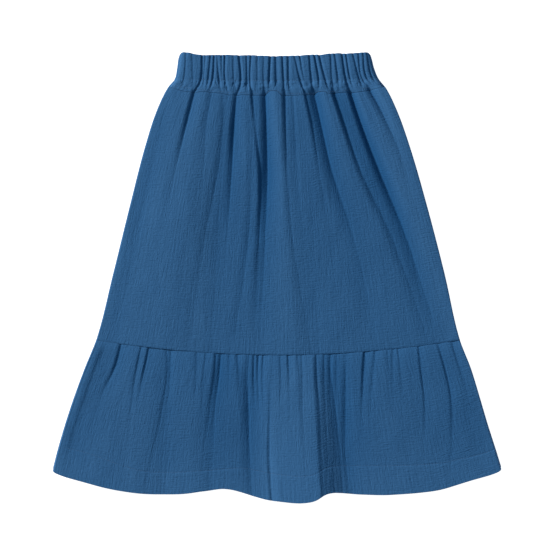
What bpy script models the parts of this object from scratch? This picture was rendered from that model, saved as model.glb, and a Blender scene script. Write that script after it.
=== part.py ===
"""A child's pull-on skirt in crinkled double gauze, laid out flat.

A gathered casing for the elastic, a front and a back body panel, and a gathered
flounce on each of them. X runs across the skirt, Y up towards the waist and Z up
from the surface that the back lies on. Every size below is in millimetres.
"""
import math

import bmesh
import bpy

MM = 0.001

# Sizes of the laid skirt; the origin is halfway down it
ORIGIN_DROP = 264.3
WALL = 1.4
HEM_WALL = 2.0
BAND_WALL = 2.4
SEAM_GAP = 0.3
LAYER_GAP = 0.3
BACK_HEM_SHORTER = 2.5

# Level lines that cross the skirt: drop below the waist corners at the side edges,
# how much further the line sags at the centre, and how square that sag is
WAIST_EDGE = {"edge": 0.0, "sag": 4.7, "power": 2.0}
CASING_SEAM = {"edge": 41.5, "sag": 10.0, "power": 2.0}
FLOUNCE_SEAM = {"edge": 337.5, "sag": 17.5, "power": 2.0}
HEM = {"edge": 487.0, "sag": 38.5, "power": 3.0}

# Side edges in plan: drop, distance of the left edge and of the right edge from the centre
OUTLINE = (
    (0.0, 113.4, 108.4),
    (3.0, 114.6, 109.8),
    (18.0, 116.4, 113.5),
    (31.5, 118.6, 118.8),
    (41.5, 127.0, 127.0),
    (68.0, 139.8, 139.8),
    (110.0, 153.9, 155.0),
    (180.0, 171.4, 174.9),
    (260.0, 191.4, 196.0),
    (337.5, 210.6, 214.0),
    (371.0, 225.2, 226.4),
    (406.0, 238.0, 238.0),
    (438.0, 248.6, 247.5),
    (470.0, 258.0, 258.0),
    (487.0, 261.6, 261.6),
)

# The corners of the waist edge and of the hem are rounded off: rise, share of the half
# width that the rounding starts at
WAIST_CORNER = (3.2, 0.955)
HEM_CORNER = (4.0, 0.975)

# Places where the hem line is drawn up: centre, lift, spread to its left and right
HEM_LIFTS = (
    (-64.0, 14.5, 30.0, 31.0),
    (24.0, -3.0, 16.0, 14.0),
    (70.0, 9.8, 13.0, 36.0),
)

# Height of the cloth's outer face above the surface, away from creases: share of the
# piece's length from its top, height
BAND_HEIGHT = ((0.0, 7.4), (0.35, 8.0), (0.72, 7.2), (0.86, 8.2), (1.0, 7.2))
PANEL_HEIGHT = ((0.0, 7.2), (0.06, 10.4), (0.25, 11.2), (0.5, 9.6), (0.8, 7.4), (0.95, 6.4),
                (1.0, 5.0))
FLOUNCE_HEIGHT = ((0.0, 5.0), (0.06, 7.4), (0.3, 7.2), (0.6, 6.6), (1.0, 6.4))

# Width over which the cloth rounds down to each side edge
BAND_SHOULDER = 9.0
PANEL_SHOULDER = 20.0
FLOUNCE_SHOULDER = 16.0

# Broad rolls and troughs of the flounce: centre at the seam and at the hem, rise at the
# seam, halfway down and at the hem, half width
FLOUNCE_ROLLS = (
    (-62.0, -62.0, 0.0, -1.6, -1.8, 26.0),
    (8.0, 14.0, 0.0, 2.6, 5.2, 30.0),
    (62.0, 63.0, -0.4, -2.6, -2.6, 15.0),
    (118.0, 122.0, 0.0, 0.6, 1.2, 34.0),
    (-130.0, -140.0, 0.0, 0.6, 0.8, 40.0),
)

# The gathers start this shallow in the flounce's seam, and are full at this share down
GATHER_START = 0.35
GATHER_FULL = 0.05

# Creases in the front of the casing: place at the waist edge, at the channel stitch and
# at the casing seam, depth at the same three, half width
BAND_STATIONS = (0.0, 0.72, 1.0)
BAND_CREASES = (
    (-108.0, -110.5, -115.0, 1.2, 1.2, 0.3, 1.6),
    (-101.0, -100.0, -101.5, 0.8, 0.9, 0.2, 1.6),
    (-89.0, -91.5, -98.5, 2.6, 2.8, 3.0, 1.5),
    (-85.4, -87.6, -88.5, 1.4, 1.2, 0.3, 1.2),
    (-79.0, -82.5, -85.0, 1.6, 1.8, 0.6, 1.5),
    (-75.0, -77.5, -81.5, 2.4, 2.6, 1.4, 1.4),
    (-72.0, -69.0, -66.5, 0.8, 2.4, 1.8, 1.5),
    (-66.5, -65.6, -63.0, 1.8, 0.6, 0.2, 1.2),
    (-62.6, -62.0, -58.0, 2.2, 1.8, 2.6, 1.4),
    (-53.0, -52.0, -52.0, 1.1, 1.1, 0.6, 1.8),
    (-46.0, -44.5, -48.5, 3.2, 3.1, 2.6, 1.5),
    (-37.0, -37.0, -38.5, 1.6, 2.1, 0.5, 1.5),
    (-32.0, -32.8, -30.0, 1.8, 2.3, 2.8, 1.6),
    (-24.5, -24.5, -24.0, 1.2, 1.0, 0.3, 1.6),
    (-17.0, -17.0, -15.8, 0.8, 1.3, 3.3, 1.7),
    (-9.6, -10.8, -10.4, 3.3, 3.2, 0.3, 1.5),
    (-2.9, -2.3, -1.7, 2.0, 2.2, 0.7, 2.2),
    (4.7, 6.4, 7.3, 2.4, 2.7, 2.8, 1.5),
    (11.7, 12.3, 14.5, 2.0, 2.4, 1.0, 1.8),
    (19.0, 27.0, 32.5, 1.2, 2.8, 3.0, 1.6),
    (25.0, 31.5, 36.5, 2.1, 0.3, 0.0, 1.2),
    (36.3, 39.3, 42.3, 2.4, 2.4, 2.6, 1.6),
    (42.2, 47.4, 47.6, 2.6, 2.6, 0.6, 1.5),
    (47.6, 56.0, 61.0, 2.8, 2.6, 1.0, 1.6),
    (61.4, 63.2, 66.0, 1.4, 1.6, 2.6, 1.6),
    (66.0, 70.2, 71.0, 1.8, 2.0, 0.8, 1.8),
    (74.3, 80.0, 85.5, 2.8, 3.2, 3.4, 1.6),
    (79.0, 84.8, 90.0, 2.4, 2.1, 0.3, 1.4),
    (87.2, 95.4, 100.6, 1.6, 2.4, 1.3, 1.6),
    (93.6, 99.2, 110.5, 1.6, 2.4, 2.6, 1.5),
    (99.0, 104.2, 115.0, 1.5, 2.2, 0.2, 1.4),
    (103.4, 110.2, 119.6, 2.2, 2.2, 0.2, 1.4),
)

# Folds of the front panel: place at the casing seam, a third and two thirds down and at
# the flounce seam, depth at the same four, half width
PIECE_STATIONS = (0.0, 1.0 / 3.0, 2.0 / 3.0, 1.0)
PANEL_FOLDS = (
    (-114.0, -139.0, -160.0, -180.0, 0.0, 1.0, 0.6, 0.0, 7.0),
    (-98.5, -121.5, -139.0, -156.0, 3.6, 1.8, 0.4, 0.0, 3.0),
    (-85.5, -98.0, -108.5, -116.0, 1.4, 0.8, 0.2, 0.0, 5.0),
    (-62.0, -76.5, -96.0, -112.0, 0.5, 2.8, 1.5, 0.3, 7.0),
    (-48.5, -57.0, -70.0, -78.0, 3.6, 2.0, 0.5, 0.0, 3.0),
    (-30.0, -21.5, -25.0, -31.0, 3.0, 4.2, 2.0, 0.0, 2.8),
    (-15.8, -13.0, -18.0, -22.0, 4.2, 4.6, 1.6, 0.0, 2.8),
    (7.3, 11.0, 20.5, 40.0, 3.2, 2.2, 1.6, 0.9, 3.2),
    (17.0, 20.0, 32.0, 50.0, 0.8, 1.2, 0.8, 0.3, 6.0),
    (32.5, 58.0, 82.0, 100.0, 3.8, 2.6, 0.6, 0.0, 4.0),
    (42.3, 68.5, 93.0, 112.0, 3.8, 3.2, 1.3, 0.2, 3.2),
    (66.0, 98.5, 141.0, 172.0, 3.6, 3.4, 2.0, 0.2, 3.4),
    (85.5, 121.0, 161.0, 191.0, 4.4, 4.8, 2.2, 0.0, 3.0),
    (110.5, 152.0, 180.0, 202.0, 3.0, 0.6, 0.0, 0.0, 3.6),
)

# Gathers of the front flounce: place at the seam, a third and two thirds down and at the
# hem, depth at the same four, half width
FLOUNCE_GATHERS = (
    (-207.0, -228.0, -245.6, -256.0, 0.8, 0.9, 0.6, 0.0, 1.6),
    (-199.5, -220.5, -238.0, -249.0, 1.0, 1.7, 1.3, 0.2, 3.6),
    (-193.0, -206.0, -224.0, -234.0, 1.6, 0.0, 0.0, 0.0, 1.4),
    (-183.0, -198.0, -211.0, -219.0, 2.9, 1.3, 0.0, 0.0, 2.0),
    (-162.0, -169.5, -188.5, -199.0, 2.4, 2.3, 0.6, 0.0, 1.7),
    (-151.5, -161.5, -171.0, -177.0, 3.0, 0.6, 0.0, 0.0, 2.0),
    (-146.0, -156.0, -164.0, -169.0, 1.1, 0.0, 0.0, 0.0, 1.4),
    (-131.0, -137.0, -149.0, -158.0, 1.9, 0.4, 0.0, 0.0, 1.6),
    (-127.0, -132.5, -146.0, -155.0, 2.1, 2.5, 1.7, 0.0, 1.7),
    (-95.0, -98.5, -101.0, -103.0, 1.1, 0.4, 0.0, 0.0, 1.8),
    (-85.0, -88.5, -90.5, -92.0, 1.5, 1.0, 0.4, 0.0, 4.0),
    (-73.0, -80.0, -86.0, -89.0, 3.2, 2.2, 0.7, 0.2, 2.6),
    (-66.0, -70.5, -74.0, -75.5, 3.0, 2.7, 1.2, 0.5, 3.0),
    (-57.5, -59.0, -60.0, -61.0, 1.3, 0.2, 0.0, 0.0, 1.5),
    (-47.0, -43.0, -42.0, -42.0, 2.2, 0.6, 0.0, 0.0, 1.7),
    (-34.5, -34.8, -33.0, -28.0, 3.0, 4.0, 3.8, 1.2, 2.2),
    (-28.6, -28.0, -26.0, -21.0, 2.3, 0.4, 0.0, 0.0, 1.5),
    (-24.0, -23.4, -21.0, -17.0, 2.7, 0.5, 0.0, 0.0, 1.5),
    (-17.6, -19.0, -16.0, -12.0, 2.2, 0.3, 0.0, 0.0, 1.6),
    (-6.5, -8.0, -9.8, -4.7, 0.3, 0.5, 2.2, 2.2, 2.2),
    (3.5, 3.0, 3.0, 5.0, 1.5, 0.4, 0.0, 0.0, 1.6),
    (11.7, 13.0, 13.5, 16.0, 2.5, 0.4, 0.0, 0.0, 1.7),
    (22.8, 25.0, 26.5, 27.5, 1.3, 0.3, 0.0, 0.0, 1.5),
    (28.0, 30.0, 31.6, 33.5, 1.9, 1.7, 0.5, 0.0, 1.6),
    (45.0, 47.5, 49.0, 50.0, 2.6, 4.2, 4.4, 4.4, 2.6),
    (53.8, 53.6, 54.5, 56.0, 2.7, 2.2, 2.4, 2.4, 3.4),
    (62.6, 60.6, 61.0, 63.0, 2.2, 0.8, 1.4, 1.2, 2.6),
    (68.0, 68.0, 68.0, 73.0, 1.9, 1.2, 2.0, 1.2, 2.4),
    (80.0, 79.0, 79.6, 88.0, 2.3, 3.4, 3.4, 1.4, 2.6),
    (100.0, 97.6, 94.0, 92.0, 3.3, 1.6, 0.0, 0.0, 1.9),
    (115.0, 106.0, 103.0, 103.0, 2.6, 0.0, 0.0, 0.0, 1.7),
    (128.0, 130.0, 132.0, 134.0, 0.9, 0.9, 0.3, 0.0, 2.0),
    (136.0, 134.6, 138.0, 140.0, 2.7, 0.2, 0.0, 0.0, 1.6),
    (140.4, 144.5, 147.0, 149.0, 2.1, 0.7, 0.0, 0.0, 1.7),
    (163.5, 170.0, 168.0, 167.0, 2.7, 2.3, 0.2, 0.0, 1.8),
    (184.0, 199.0, 201.5, 200.0, 2.7, 3.1, 1.4, 0.0, 2.0),
    (202.0, 220.0, 232.0, 242.0, 2.4, 0.8, 0.0, 0.0, 2.0),
)

# Pressed grooves in the underside of the back: place at the top and at the bottom of the
# piece, depth at its top, share of the length that the groove runs for
BACK_GROOVE_HALF_WIDTH = 4.2
BACK_PANEL_GROOVES = (
    (-112.0, -176.0, 0.7, 0.6),
    (-91.0, -141.0, 0.8, 0.8),
    (-68.0, -110.0, 0.8, 0.5),
    (-45.0, -76.0, 0.8, 0.9),
    (-22.0, -34.0, 0.7, 0.6),
    (19.0, 30.0, 0.8, 0.7),
    (40.0, 66.0, 0.8, 0.9),
    (61.0, 98.0, 0.7, 0.5),
    (83.0, 134.0, 0.8, 0.8),
    (107.0, 172.0, 0.7, 0.6),
)
BACK_FLOUNCE_GROOVES = (
    (-188.0, -216.0, 0.7, 0.5),
    (-171.0, -197.0, 0.8, 0.7),
    (-150.0, -172.0, 0.7, 0.4),
    (-134.0, -155.0, 0.8, 0.8),
    (-113.0, -128.0, 0.7, 0.5),
    (-96.0, -110.0, 0.8, 0.6),
    (-78.0, -88.0, 0.8, 0.9),
    (-59.0, -66.0, 0.7, 0.5),
    (-41.0, -47.0, 0.8, 0.7),
    (-21.0, -24.0, 0.7, 0.5),
    (19.0, 22.0, 0.7, 0.6),
    (38.0, 44.0, 0.8, 0.8),
    (58.0, 66.0, 0.7, 0.5),
    (75.0, 86.0, 0.8, 0.7),
    (95.0, 108.0, 0.8, 0.5),
    (114.0, 130.0, 0.7, 0.9),
    (133.0, 152.0, 0.8, 0.6),
    (152.0, 174.0, 0.7, 0.4),
    (172.0, 198.0, 0.8, 0.7),
    (190.0, 218.0, 0.7, 0.5),
)

# Gathers on the underside of the casing mirror the front ones, pressed shallower
BAND_BACK_SHARE = 0.42
BAND_END_RADIUS = 2.7
BAND_END_SLIT = 0.25
BAND_END_FACETS = 4

# Rows of points down each piece, as shares of its length
BAND_ROWS = (0.0, 0.1, 0.45, 0.72, 0.86, 1.0)
PANEL_ROWS = (0.0, 0.05, 0.12, 0.21, 0.31, 0.42, 0.54, 0.66, 0.8, 0.95, 1.0)
FLOUNCE_ROWS = (0.0, 0.05, 0.15, 0.29, 0.45, 0.61, 0.79, 0.84, 1.0)
BACK_PANEL_ROWS = (0.0, 0.2, 0.4, 0.6, 0.8, 1.0)
BACK_FLOUNCE_ROWS = (0.0, 0.25, 0.5, 0.75, 1.0)
HEM_FOLD_SHARE = 0.8

# Extra columns between neighbouring creases: widest gap, shares of the gap they stand at
COLUMN_SHARES = (
    (5.0, (0.5,)),
    (14.0, (0.3, 0.7)),
    (26.0, (0.17, 0.5, 0.83)),
    (45.0, (0.1, 0.36, 0.64, 0.9)),
    (600.0, (0.08, 0.29, 0.5, 0.71, 0.92)),
)
EDGE_GAP = 18.0
EDGE_SHARE = 0.1

# Profile of a crease, how far out it is still felt in half widths, and how softly the
# cloth's lowest height is reached
CREASE_SHARPNESS = 1.25
CREASE_REACH = 7.0
FLOOR_EASE = 0.5

# Room that a front piece keeps over the grooves of the back, away from the side edges
GROOVE_ROOM = 0.9
GROOVE_ROOM_WIDTH = 12.0

# Creases of the casing's front may sink this far under its rounded ends, and those of its
# back are pressed away where they are shallower than this
BAND_CREASE_SINK = 0.9
BAND_BACK_PRESS = 0.2

SHARP_ANGLE = 50.0

CLOTH_BLUE = (0.0262, 0.0953, 0.2195, 1.0)
CASING_BLUE = (0.0270, 0.0985, 0.2270, 1.0)


def curve_through(stations, values, at):
    """Value at a place on the smooth curve through values at rising stations."""
    if at <= stations[0]:
        return values[0]
    if at >= stations[-1]:
        return values[-1]
    k = max(i for i in range(len(stations) - 1) if stations[i] <= at)
    slopes = [(values[i + 1] - values[i]) / (stations[i + 1] - stations[i])
              for i in range(len(stations) - 1)]

    def tangent(i):
        if i == 0:
            return slopes[0]
        if i == len(slopes):
            return slopes[-1]
        return 0.5 * (slopes[i - 1] + slopes[i])

    span = stations[k + 1] - stations[k]
    t = (at - stations[k]) / span
    return ((2 * t ** 3 - 3 * t ** 2 + 1) * values[k]
            + (t ** 3 - 2 * t ** 2 + t) * span * tangent(k)
            + (3 * t ** 2 - 2 * t ** 3) * values[k + 1]
            + (t ** 3 - t ** 2) * span * tangent(k + 1))


def straight_through(stations, values, at):
    """Value at a place on straight runs between values at rising stations."""
    if at <= stations[0]:
        return values[0]
    for i in range(len(stations) - 1):
        if at <= stations[i + 1]:
            t = (at - stations[i]) / (stations[i + 1] - stations[i])
            return values[i] + t * (values[i + 1] - values[i])
    return values[-1]


def side_edges(drop):
    """X of the left and of the right side edge at a drop below the waist corners."""
    drops = [row[0] for row in OUTLINE]
    left = curve_through(drops, [row[1] for row in OUTLINE], drop)
    right = curve_through(drops, [row[2] for row in OUTLINE], drop)
    return -left, right


def level_drop(line, across):
    """Drop of a level line at a share across the skirt, from -1 at the left to 1."""
    return line["edge"] + line["sag"] * (1.0 - abs(across) ** line["power"])


def hem_lift(x):
    """How far the hem line is drawn up at a place across the skirt."""
    lift = 0.0
    for centre, height, spread_left, spread_right in HEM_LIFTS:
        spread = spread_left if x < centre else spread_right
        lift += height * math.exp(-0.5 * ((x - centre) / spread) ** 2)
    return lift


def height_at(table, down):
    """Outer height of a piece at a share of its length."""
    return curve_through([row[0] for row in table], [row[1] for row in table], down)


def shoulder(x, left, right, width):
    """Rounding towards the side edges: 0 at an edge, 1 a shoulder's width inside it."""
    inside = max(0.0, min(1.0, min(x - left, right - x) / width))
    return math.sqrt(max(0.0, 1.0 - (1.0 - inside) ** 2))


def crease_places(creases, stations, down):
    """X of every crease of a table at a share of the piece's length."""
    n = len(stations)
    return [curve_through(stations, row[:n], down) for row in creases]


def crease_relief(creases, stations, x, down):
    """Depth of all the creases of a table together at one point of the cloth."""
    n = len(stations)
    depth = 0.0
    for row in creases:
        away = abs(x - curve_through(stations, row[:n], down))
        width = row[2 * n]
        if away < CREASE_REACH * width:
            here = max(0.0, straight_through(stations, row[n:2 * n], down))
            depth += here * math.exp(-((away / width) ** CREASE_SHARPNESS))
    return depth


def rolls_at(x, down):
    """Rise of the flounce's broad rolls and troughs at one point."""
    rise = 0.0
    for x_seam, x_hem, at_seam, halfway, at_hem, half_width in FLOUNCE_ROLLS:
        centre = x_seam + (x_hem - x_seam) * down
        here = straight_through((0.0, 0.5, 1.0), (at_seam, halfway, at_hem), down)
        rise += here * math.exp(-((x - centre) / half_width) ** 2)
    return rise


def soft_floor(height, lowest):
    """Height eased so that it never falls under the lowest one."""
    above = height - lowest
    return lowest + 0.5 * (above + math.sqrt(above * above + FLOOR_EASE ** 2))


def between(anchors):
    """Shares of each gap between anchors that its ridge columns stand at."""
    pattern = []
    last = len(anchors) - 2
    for k in range(len(anchors) - 1):
        gap = anchors[k + 1] - anchors[k]
        shares = set(next(s for widest, s in COLUMN_SHARES if gap < widest))
        if k == 0 and gap > EDGE_GAP:
            shares.add(EDGE_SHARE)
        if k == last and gap > EDGE_GAP:
            shares.add(1.0 - EDGE_SHARE)
        pattern.append(sorted(shares))
    return pattern


def columns(anchors, pattern):
    """X of every column, from the anchors of one row and the pattern of the gaps."""
    xs = [anchors[0]]
    for k, shares in enumerate(pattern):
        gap = anchors[k + 1] - anchors[k]
        xs.extend(anchors[k] + share * gap for share in shares)
        xs.append(anchors[k + 1])
    return xs


def corner_rise(across, corner):
    """How far a rounded corner leaves its level line at a share across the skirt."""
    rise, start = corner
    inside = max(0.0, (abs(across) - start) / (1.0 - start))
    return rise * (1.0 - math.sqrt(max(0.0, 1.0 - min(1.0, inside) ** 2)))


def plan_point(x, across, down, top_line, bottom_line):
    """Y of a point a share down the piece between its two level lines."""
    top = level_drop(top_line, across)
    bottom = level_drop(bottom_line, across)
    if top_line is WAIST_EDGE:
        top += corner_rise(across, WAIST_CORNER)
    if bottom_line is HEM:
        bottom -= hem_lift(x) + corner_rise(across, HEM_CORNER)
    return ORIGIN_DROP - (top + down * (bottom - top))


def front_floor(x, left, right):
    """Lowest outer height of a front piece: its wall clears the back with its grooves."""
    groove_room = GROOVE_ROOM * shoulder(x, left, right, GROOVE_ROOM_WIDTH)
    return 2.0 * WALL + LAYER_GAP + groove_room


def panel_height(x, down, left, right):
    """Outer height of the front body panel."""
    lowest = front_floor(x, left, right)
    crown = height_at(PANEL_HEIGHT, down) - lowest
    height = lowest + crown * shoulder(x, left, right, PANEL_SHOULDER)
    height -= crease_relief(PANEL_FOLDS, PIECE_STATIONS, x, down)
    return soft_floor(height, lowest)


def flounce_height(x, down, left, right):
    """Outer height of the front flounce."""
    lowest = front_floor(x, left, right)
    crown = height_at(FLOUNCE_HEIGHT, down) + rolls_at(x, down) - lowest
    height = lowest + crown * shoulder(x, left, right, FLOUNCE_SHOULDER)
    start = GATHER_START + (1.0 - GATHER_START) * min(1.0, down / GATHER_FULL)
    height -= start * crease_relief(FLOUNCE_GATHERS, PIECE_STATIONS, x, down)
    return soft_floor(height, lowest)


def band_front_height(x, down, left, right):
    """Outer height of the casing's front."""
    lowest = 2.0 * BAND_END_RADIUS
    crown = height_at(BAND_HEIGHT, down) - lowest
    height = lowest + crown * shoulder(x, left, right, BAND_SHOULDER)
    relief = crease_relief(BAND_CREASES, BAND_STATIONS, x, down)
    fade = shoulder(x, left, right, 0.5 * BAND_SHOULDER)
    return soft_floor(height - relief * fade, lowest - BAND_CREASE_SINK * fade)


def band_back_height(x, down, left, right):
    """Height of the casing's underside: flat, with the back's gathers as grooves."""
    relief = crease_relief(BAND_CREASES, BAND_STATIONS, left + right - x, down)
    fade = shoulder(x, left, right, BAND_SHOULDER)
    return max(0.0, BAND_BACK_SHARE * relief * fade - BAND_BACK_PRESS)


def groove_height(grooves, x, down):
    """Height of the pressed underside of a back piece over its grooves."""
    height = 0.0
    for x_top, x_bottom, depth, reach in grooves:
        away = abs(x - (x_top + (x_bottom - x_top) * down))
        fade = max(0.0, 1.0 - down / reach)
        height += depth * fade * max(0.0, 1.0 - away / BACK_GROOVE_HALF_WIDTH)
    return height


def new_object(name, material, bm):
    """Object in the scene from a bmesh in millimetres."""
    bmesh.ops.recalc_face_normals(bm, faces=bm.faces)
    bmesh.ops.scale(bm, vec=(MM, MM, MM), verts=bm.verts)
    mesh = bpy.data.meshes.new(name)
    bm.to_mesh(mesh)
    bm.free()
    mesh.materials.append(material)
    mesh.shade_smooth()
    mesh.set_sharp_from_angle(angle=math.radians(SHARP_ANGLE))
    obj = bpy.data.objects.new(name, mesh)
    bpy.context.scene.collection.objects.link(obj)
    return obj


def grid_wall(name, material, outer, inner):
    """Closed wall between two equal grids of points, an outer and an inner face."""
    bm = bmesh.new()
    above = [[bm.verts.new(p) for p in row] for row in outer]
    below = [[bm.verts.new(p) for p in row] for row in inner]
    last_row = len(above) - 1
    last_column = len(above[0]) - 1
    for i in range(last_row):
        for j in range(last_column):
            bm.faces.new((above[i][j], above[i + 1][j], above[i + 1][j + 1], above[i][j + 1]))
            bm.faces.new((below[i][j], below[i][j + 1], below[i + 1][j + 1], below[i + 1][j]))
    for j in range(last_column):
        bm.faces.new((above[0][j], above[0][j + 1], below[0][j + 1], below[0][j]))
        bm.faces.new((above[last_row][j + 1], above[last_row][j],
                      below[last_row][j], below[last_row][j + 1]))
    for i in range(last_row):
        bm.faces.new((above[i + 1][0], above[i][0], below[i][0], below[i + 1][0]))
        bm.faces.new((above[i][last_column], above[i + 1][last_column],
                      below[i + 1][last_column], below[i][last_column]))
    return new_object(name, material, bm)


def ring_wall(name, material, outer, inner):
    """Closed wall between two equal stacks of rings, an outer and an inner one."""
    bm = bmesh.new()
    out = [[bm.verts.new(p) for p in ring] for ring in outer]
    inn = [[bm.verts.new(p) for p in ring] for ring in inner]
    count = len(out[0])
    last = len(out) - 1
    for j in range(count):
        k = (j + 1) % count
        for i in range(last):
            bm.faces.new((out[i][j], out[i + 1][j], out[i + 1][k], out[i][k]))
            bm.faces.new((inn[i][j], inn[i][k], inn[i + 1][k], inn[i + 1][j]))
        bm.faces.new((out[0][j], out[0][k], inn[0][k], inn[0][j]))
        bm.faces.new((out[last][k], out[last][j], inn[last][j], inn[last][k]))
    return new_object(name, material, bm)


def front_piece(name, material, rows, folds, lines, height_of, hemmed):
    """Front panel or flounce: a wall that rises and falls over its folds."""
    top_line, bottom_line = lines
    middle = crease_places(folds, PIECE_STATIONS, 0.5)
    left, right = side_edges(0.5 * (top_line["edge"] + bottom_line["edge"]))
    pattern = between([left, *middle, right])
    outer, inner = [], []
    for down in rows:
        edge_drop = top_line["edge"] + down * (bottom_line["edge"] - top_line["edge"])
        left, right = side_edges(edge_drop)
        centre, half = 0.5 * (left + right), 0.5 * (right - left)
        anchors = [left, *crease_places(folds, PIECE_STATIONS, down), right]
        above, below = [], []
        for x in columns(anchors, pattern):
            across = (x - centre) / half
            y = plan_point(x, across, down, top_line, bottom_line)
            y -= SEAM_GAP * (1.0 - down) if hemmed else 0.0
            z = height_of(x, down, left, right)
            wall = HEM_WALL if hemmed and down > HEM_FOLD_SHARE else WALL
            above.append((x, y, z))
            below.append((x, y, max(z - wall, front_floor(x, left, right) - WALL)))
        outer.append(above)
        inner.append(below)
    return grid_wall(name, material, outer, inner)


def back_piece(name, material, rows, grooves, lines, hemmed):
    """Back panel or flounce: a wall pressed flat on the surface, with shallow grooves."""
    top_line, bottom_line = lines
    outer, inner = [], []
    for down in rows:
        edge_drop = top_line["edge"] + down * (bottom_line["edge"] - top_line["edge"])
        left, right = side_edges(edge_drop)
        centre, half = 0.5 * (left + right), 0.5 * (right - left)
        xs = [left]
        for x_top, x_bottom, _, _ in grooves:
            place = x_top + (x_bottom - x_top) * down
            xs.extend((place - BACK_GROOVE_HALF_WIDTH, place, place + BACK_GROOVE_HALF_WIDTH))
        xs.append(right)
        above, below = [], []
        for x in xs:
            across = (x - centre) / half
            y = plan_point(x, across, down, top_line, bottom_line)
            if hemmed:
                y += BACK_HEM_SHORTER * down - SEAM_GAP * (1.0 - down)
            z = groove_height(grooves, x, down)
            above.append((x, y, z + WALL))
            below.append((x, y, z))
        outer.append(above)
        inner.append(below)
    return grid_wall(name, material, outer, inner)


def end_arc(x_end, side, radius):
    """X and Z of the points round one end of the casing, from its top to its underside."""
    points = []
    for i in range(1, BAND_END_FACETS):
        turn = math.radians(90.0 - 180.0 * i / BAND_END_FACETS)
        x = x_end + side * radius * math.cos(turn)
        points.append((x, BAND_END_RADIUS + radius * math.sin(turn)))
    return points


def waistband(material):
    """Casing of the elastic: one flattened loop, gathered on both faces."""
    top_line, bottom_line = WAIST_EDGE, CASING_SEAM
    middle = crease_places(BAND_CREASES, BAND_STATIONS, 0.5)
    left, right = side_edges(0.5 * bottom_line["edge"])
    flat_left, flat_right = left + BAND_END_RADIUS, right - BAND_END_RADIUS
    front_pattern = between([flat_left, *middle, flat_right])
    outer, inner = [], []
    for down in BAND_ROWS:
        edge_drop = down * bottom_line["edge"]
        left, right = side_edges(edge_drop)
        centre, half = 0.5 * (left + right), 0.5 * (right - left)
        places = crease_places(BAND_CREASES, BAND_STATIONS, down)
        flat_left, flat_right = left + BAND_END_RADIUS, right - BAND_END_RADIUS
        front = columns([flat_left, *places, flat_right], front_pattern)
        back = [flat_right, *[left + right - place for place in places], flat_left]
        ring_out, ring_in = [], []
        for x in front:
            z = band_front_height(x, down, left, right)
            ring_out.append((x, z))
            ring_in.append((x, max(BAND_END_RADIUS + BAND_END_SLIT, z - BAND_WALL)))
        ring_out.extend(end_arc(flat_right, 1.0, BAND_END_RADIUS))
        ring_in.extend(end_arc(flat_right, 1.0, BAND_END_SLIT))
        for x in back:
            ring_out.append((x, band_back_height(x, down, left, right)))
            ring_in.append((x, BAND_END_RADIUS - BAND_END_SLIT))
        ring_out.extend(reversed(end_arc(flat_left, -1.0, BAND_END_RADIUS)))
        ring_in.extend(reversed(end_arc(flat_left, -1.0, BAND_END_SLIT)))
        for ring, stack in ((ring_out, outer), (ring_in, inner)):
            placed = []
            for x, z in ring:
                across = (x - centre) / half
                y = plan_point(x, across, down, top_line, bottom_line)
                placed.append((x, y + SEAM_GAP * down, z))
            stack.append(placed)
    return ring_wall("waistband", material, outer, inner)


def cloth_material(name, colour):
    """Matt cotton cloth."""
    material = bpy.data.materials.new(name)
    material.use_nodes = True
    shader = material.node_tree.nodes["Principled BSDF"]
    shader.inputs["Base Color"].default_value = colour
    shader.inputs["Roughness"].default_value = 0.92
    shader.inputs["Metallic"].default_value = 0.0
    material.diffuse_color = colour
    return material


def main():
    for old in list(bpy.data.objects):
        bpy.data.objects.remove(old, do_unlink=True)
    body_cloth = cloth_material("double_gauze", CLOTH_BLUE)
    casing_cloth = cloth_material("casing_gauze", CASING_BLUE)
    panel_lines = (CASING_SEAM, FLOUNCE_SEAM)
    flounce_lines = (FLOUNCE_SEAM, HEM)
    waistband(casing_cloth)
    front_piece("front_panel", body_cloth, PANEL_ROWS, PANEL_FOLDS, panel_lines,
                panel_height, hemmed=False)
    front_piece("front_flounce", body_cloth, FLOUNCE_ROWS, FLOUNCE_GATHERS, flounce_lines,
                flounce_height, hemmed=True)
    back_piece("back_panel", body_cloth, BACK_PANEL_ROWS, BACK_PANEL_GROOVES, panel_lines,
               hemmed=False)
    back_piece("back_flounce", body_cloth, BACK_FLOUNCE_ROWS, BACK_FLOUNCE_GROOVES,
               flounce_lines, hemmed=True)


main()
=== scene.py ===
# %% [markdown]
# # A child's tiered skirt in crinkled double gauze
# The skirt lies flat, front up. It has a casing over elastic, a front and a back body panel,
# and a gathered flounce on each. Its rigid model is loaded first, and stays as it is. Every
# piece of cloth below stands for one of that model's nodes.

# %% Load the rigid model
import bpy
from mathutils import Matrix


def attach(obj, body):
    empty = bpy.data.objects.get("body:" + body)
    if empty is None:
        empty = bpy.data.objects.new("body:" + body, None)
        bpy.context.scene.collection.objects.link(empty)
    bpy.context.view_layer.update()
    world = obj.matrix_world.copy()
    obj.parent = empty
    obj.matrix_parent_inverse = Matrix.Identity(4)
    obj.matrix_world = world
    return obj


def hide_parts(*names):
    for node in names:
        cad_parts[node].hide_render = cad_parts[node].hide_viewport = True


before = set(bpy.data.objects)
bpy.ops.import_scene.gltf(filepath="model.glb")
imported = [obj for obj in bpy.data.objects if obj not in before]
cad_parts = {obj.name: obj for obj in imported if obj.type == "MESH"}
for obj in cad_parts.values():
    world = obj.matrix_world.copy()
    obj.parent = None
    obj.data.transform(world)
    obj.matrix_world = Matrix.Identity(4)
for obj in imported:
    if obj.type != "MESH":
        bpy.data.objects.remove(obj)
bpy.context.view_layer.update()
print("nodes:", sorted(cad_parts))

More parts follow.
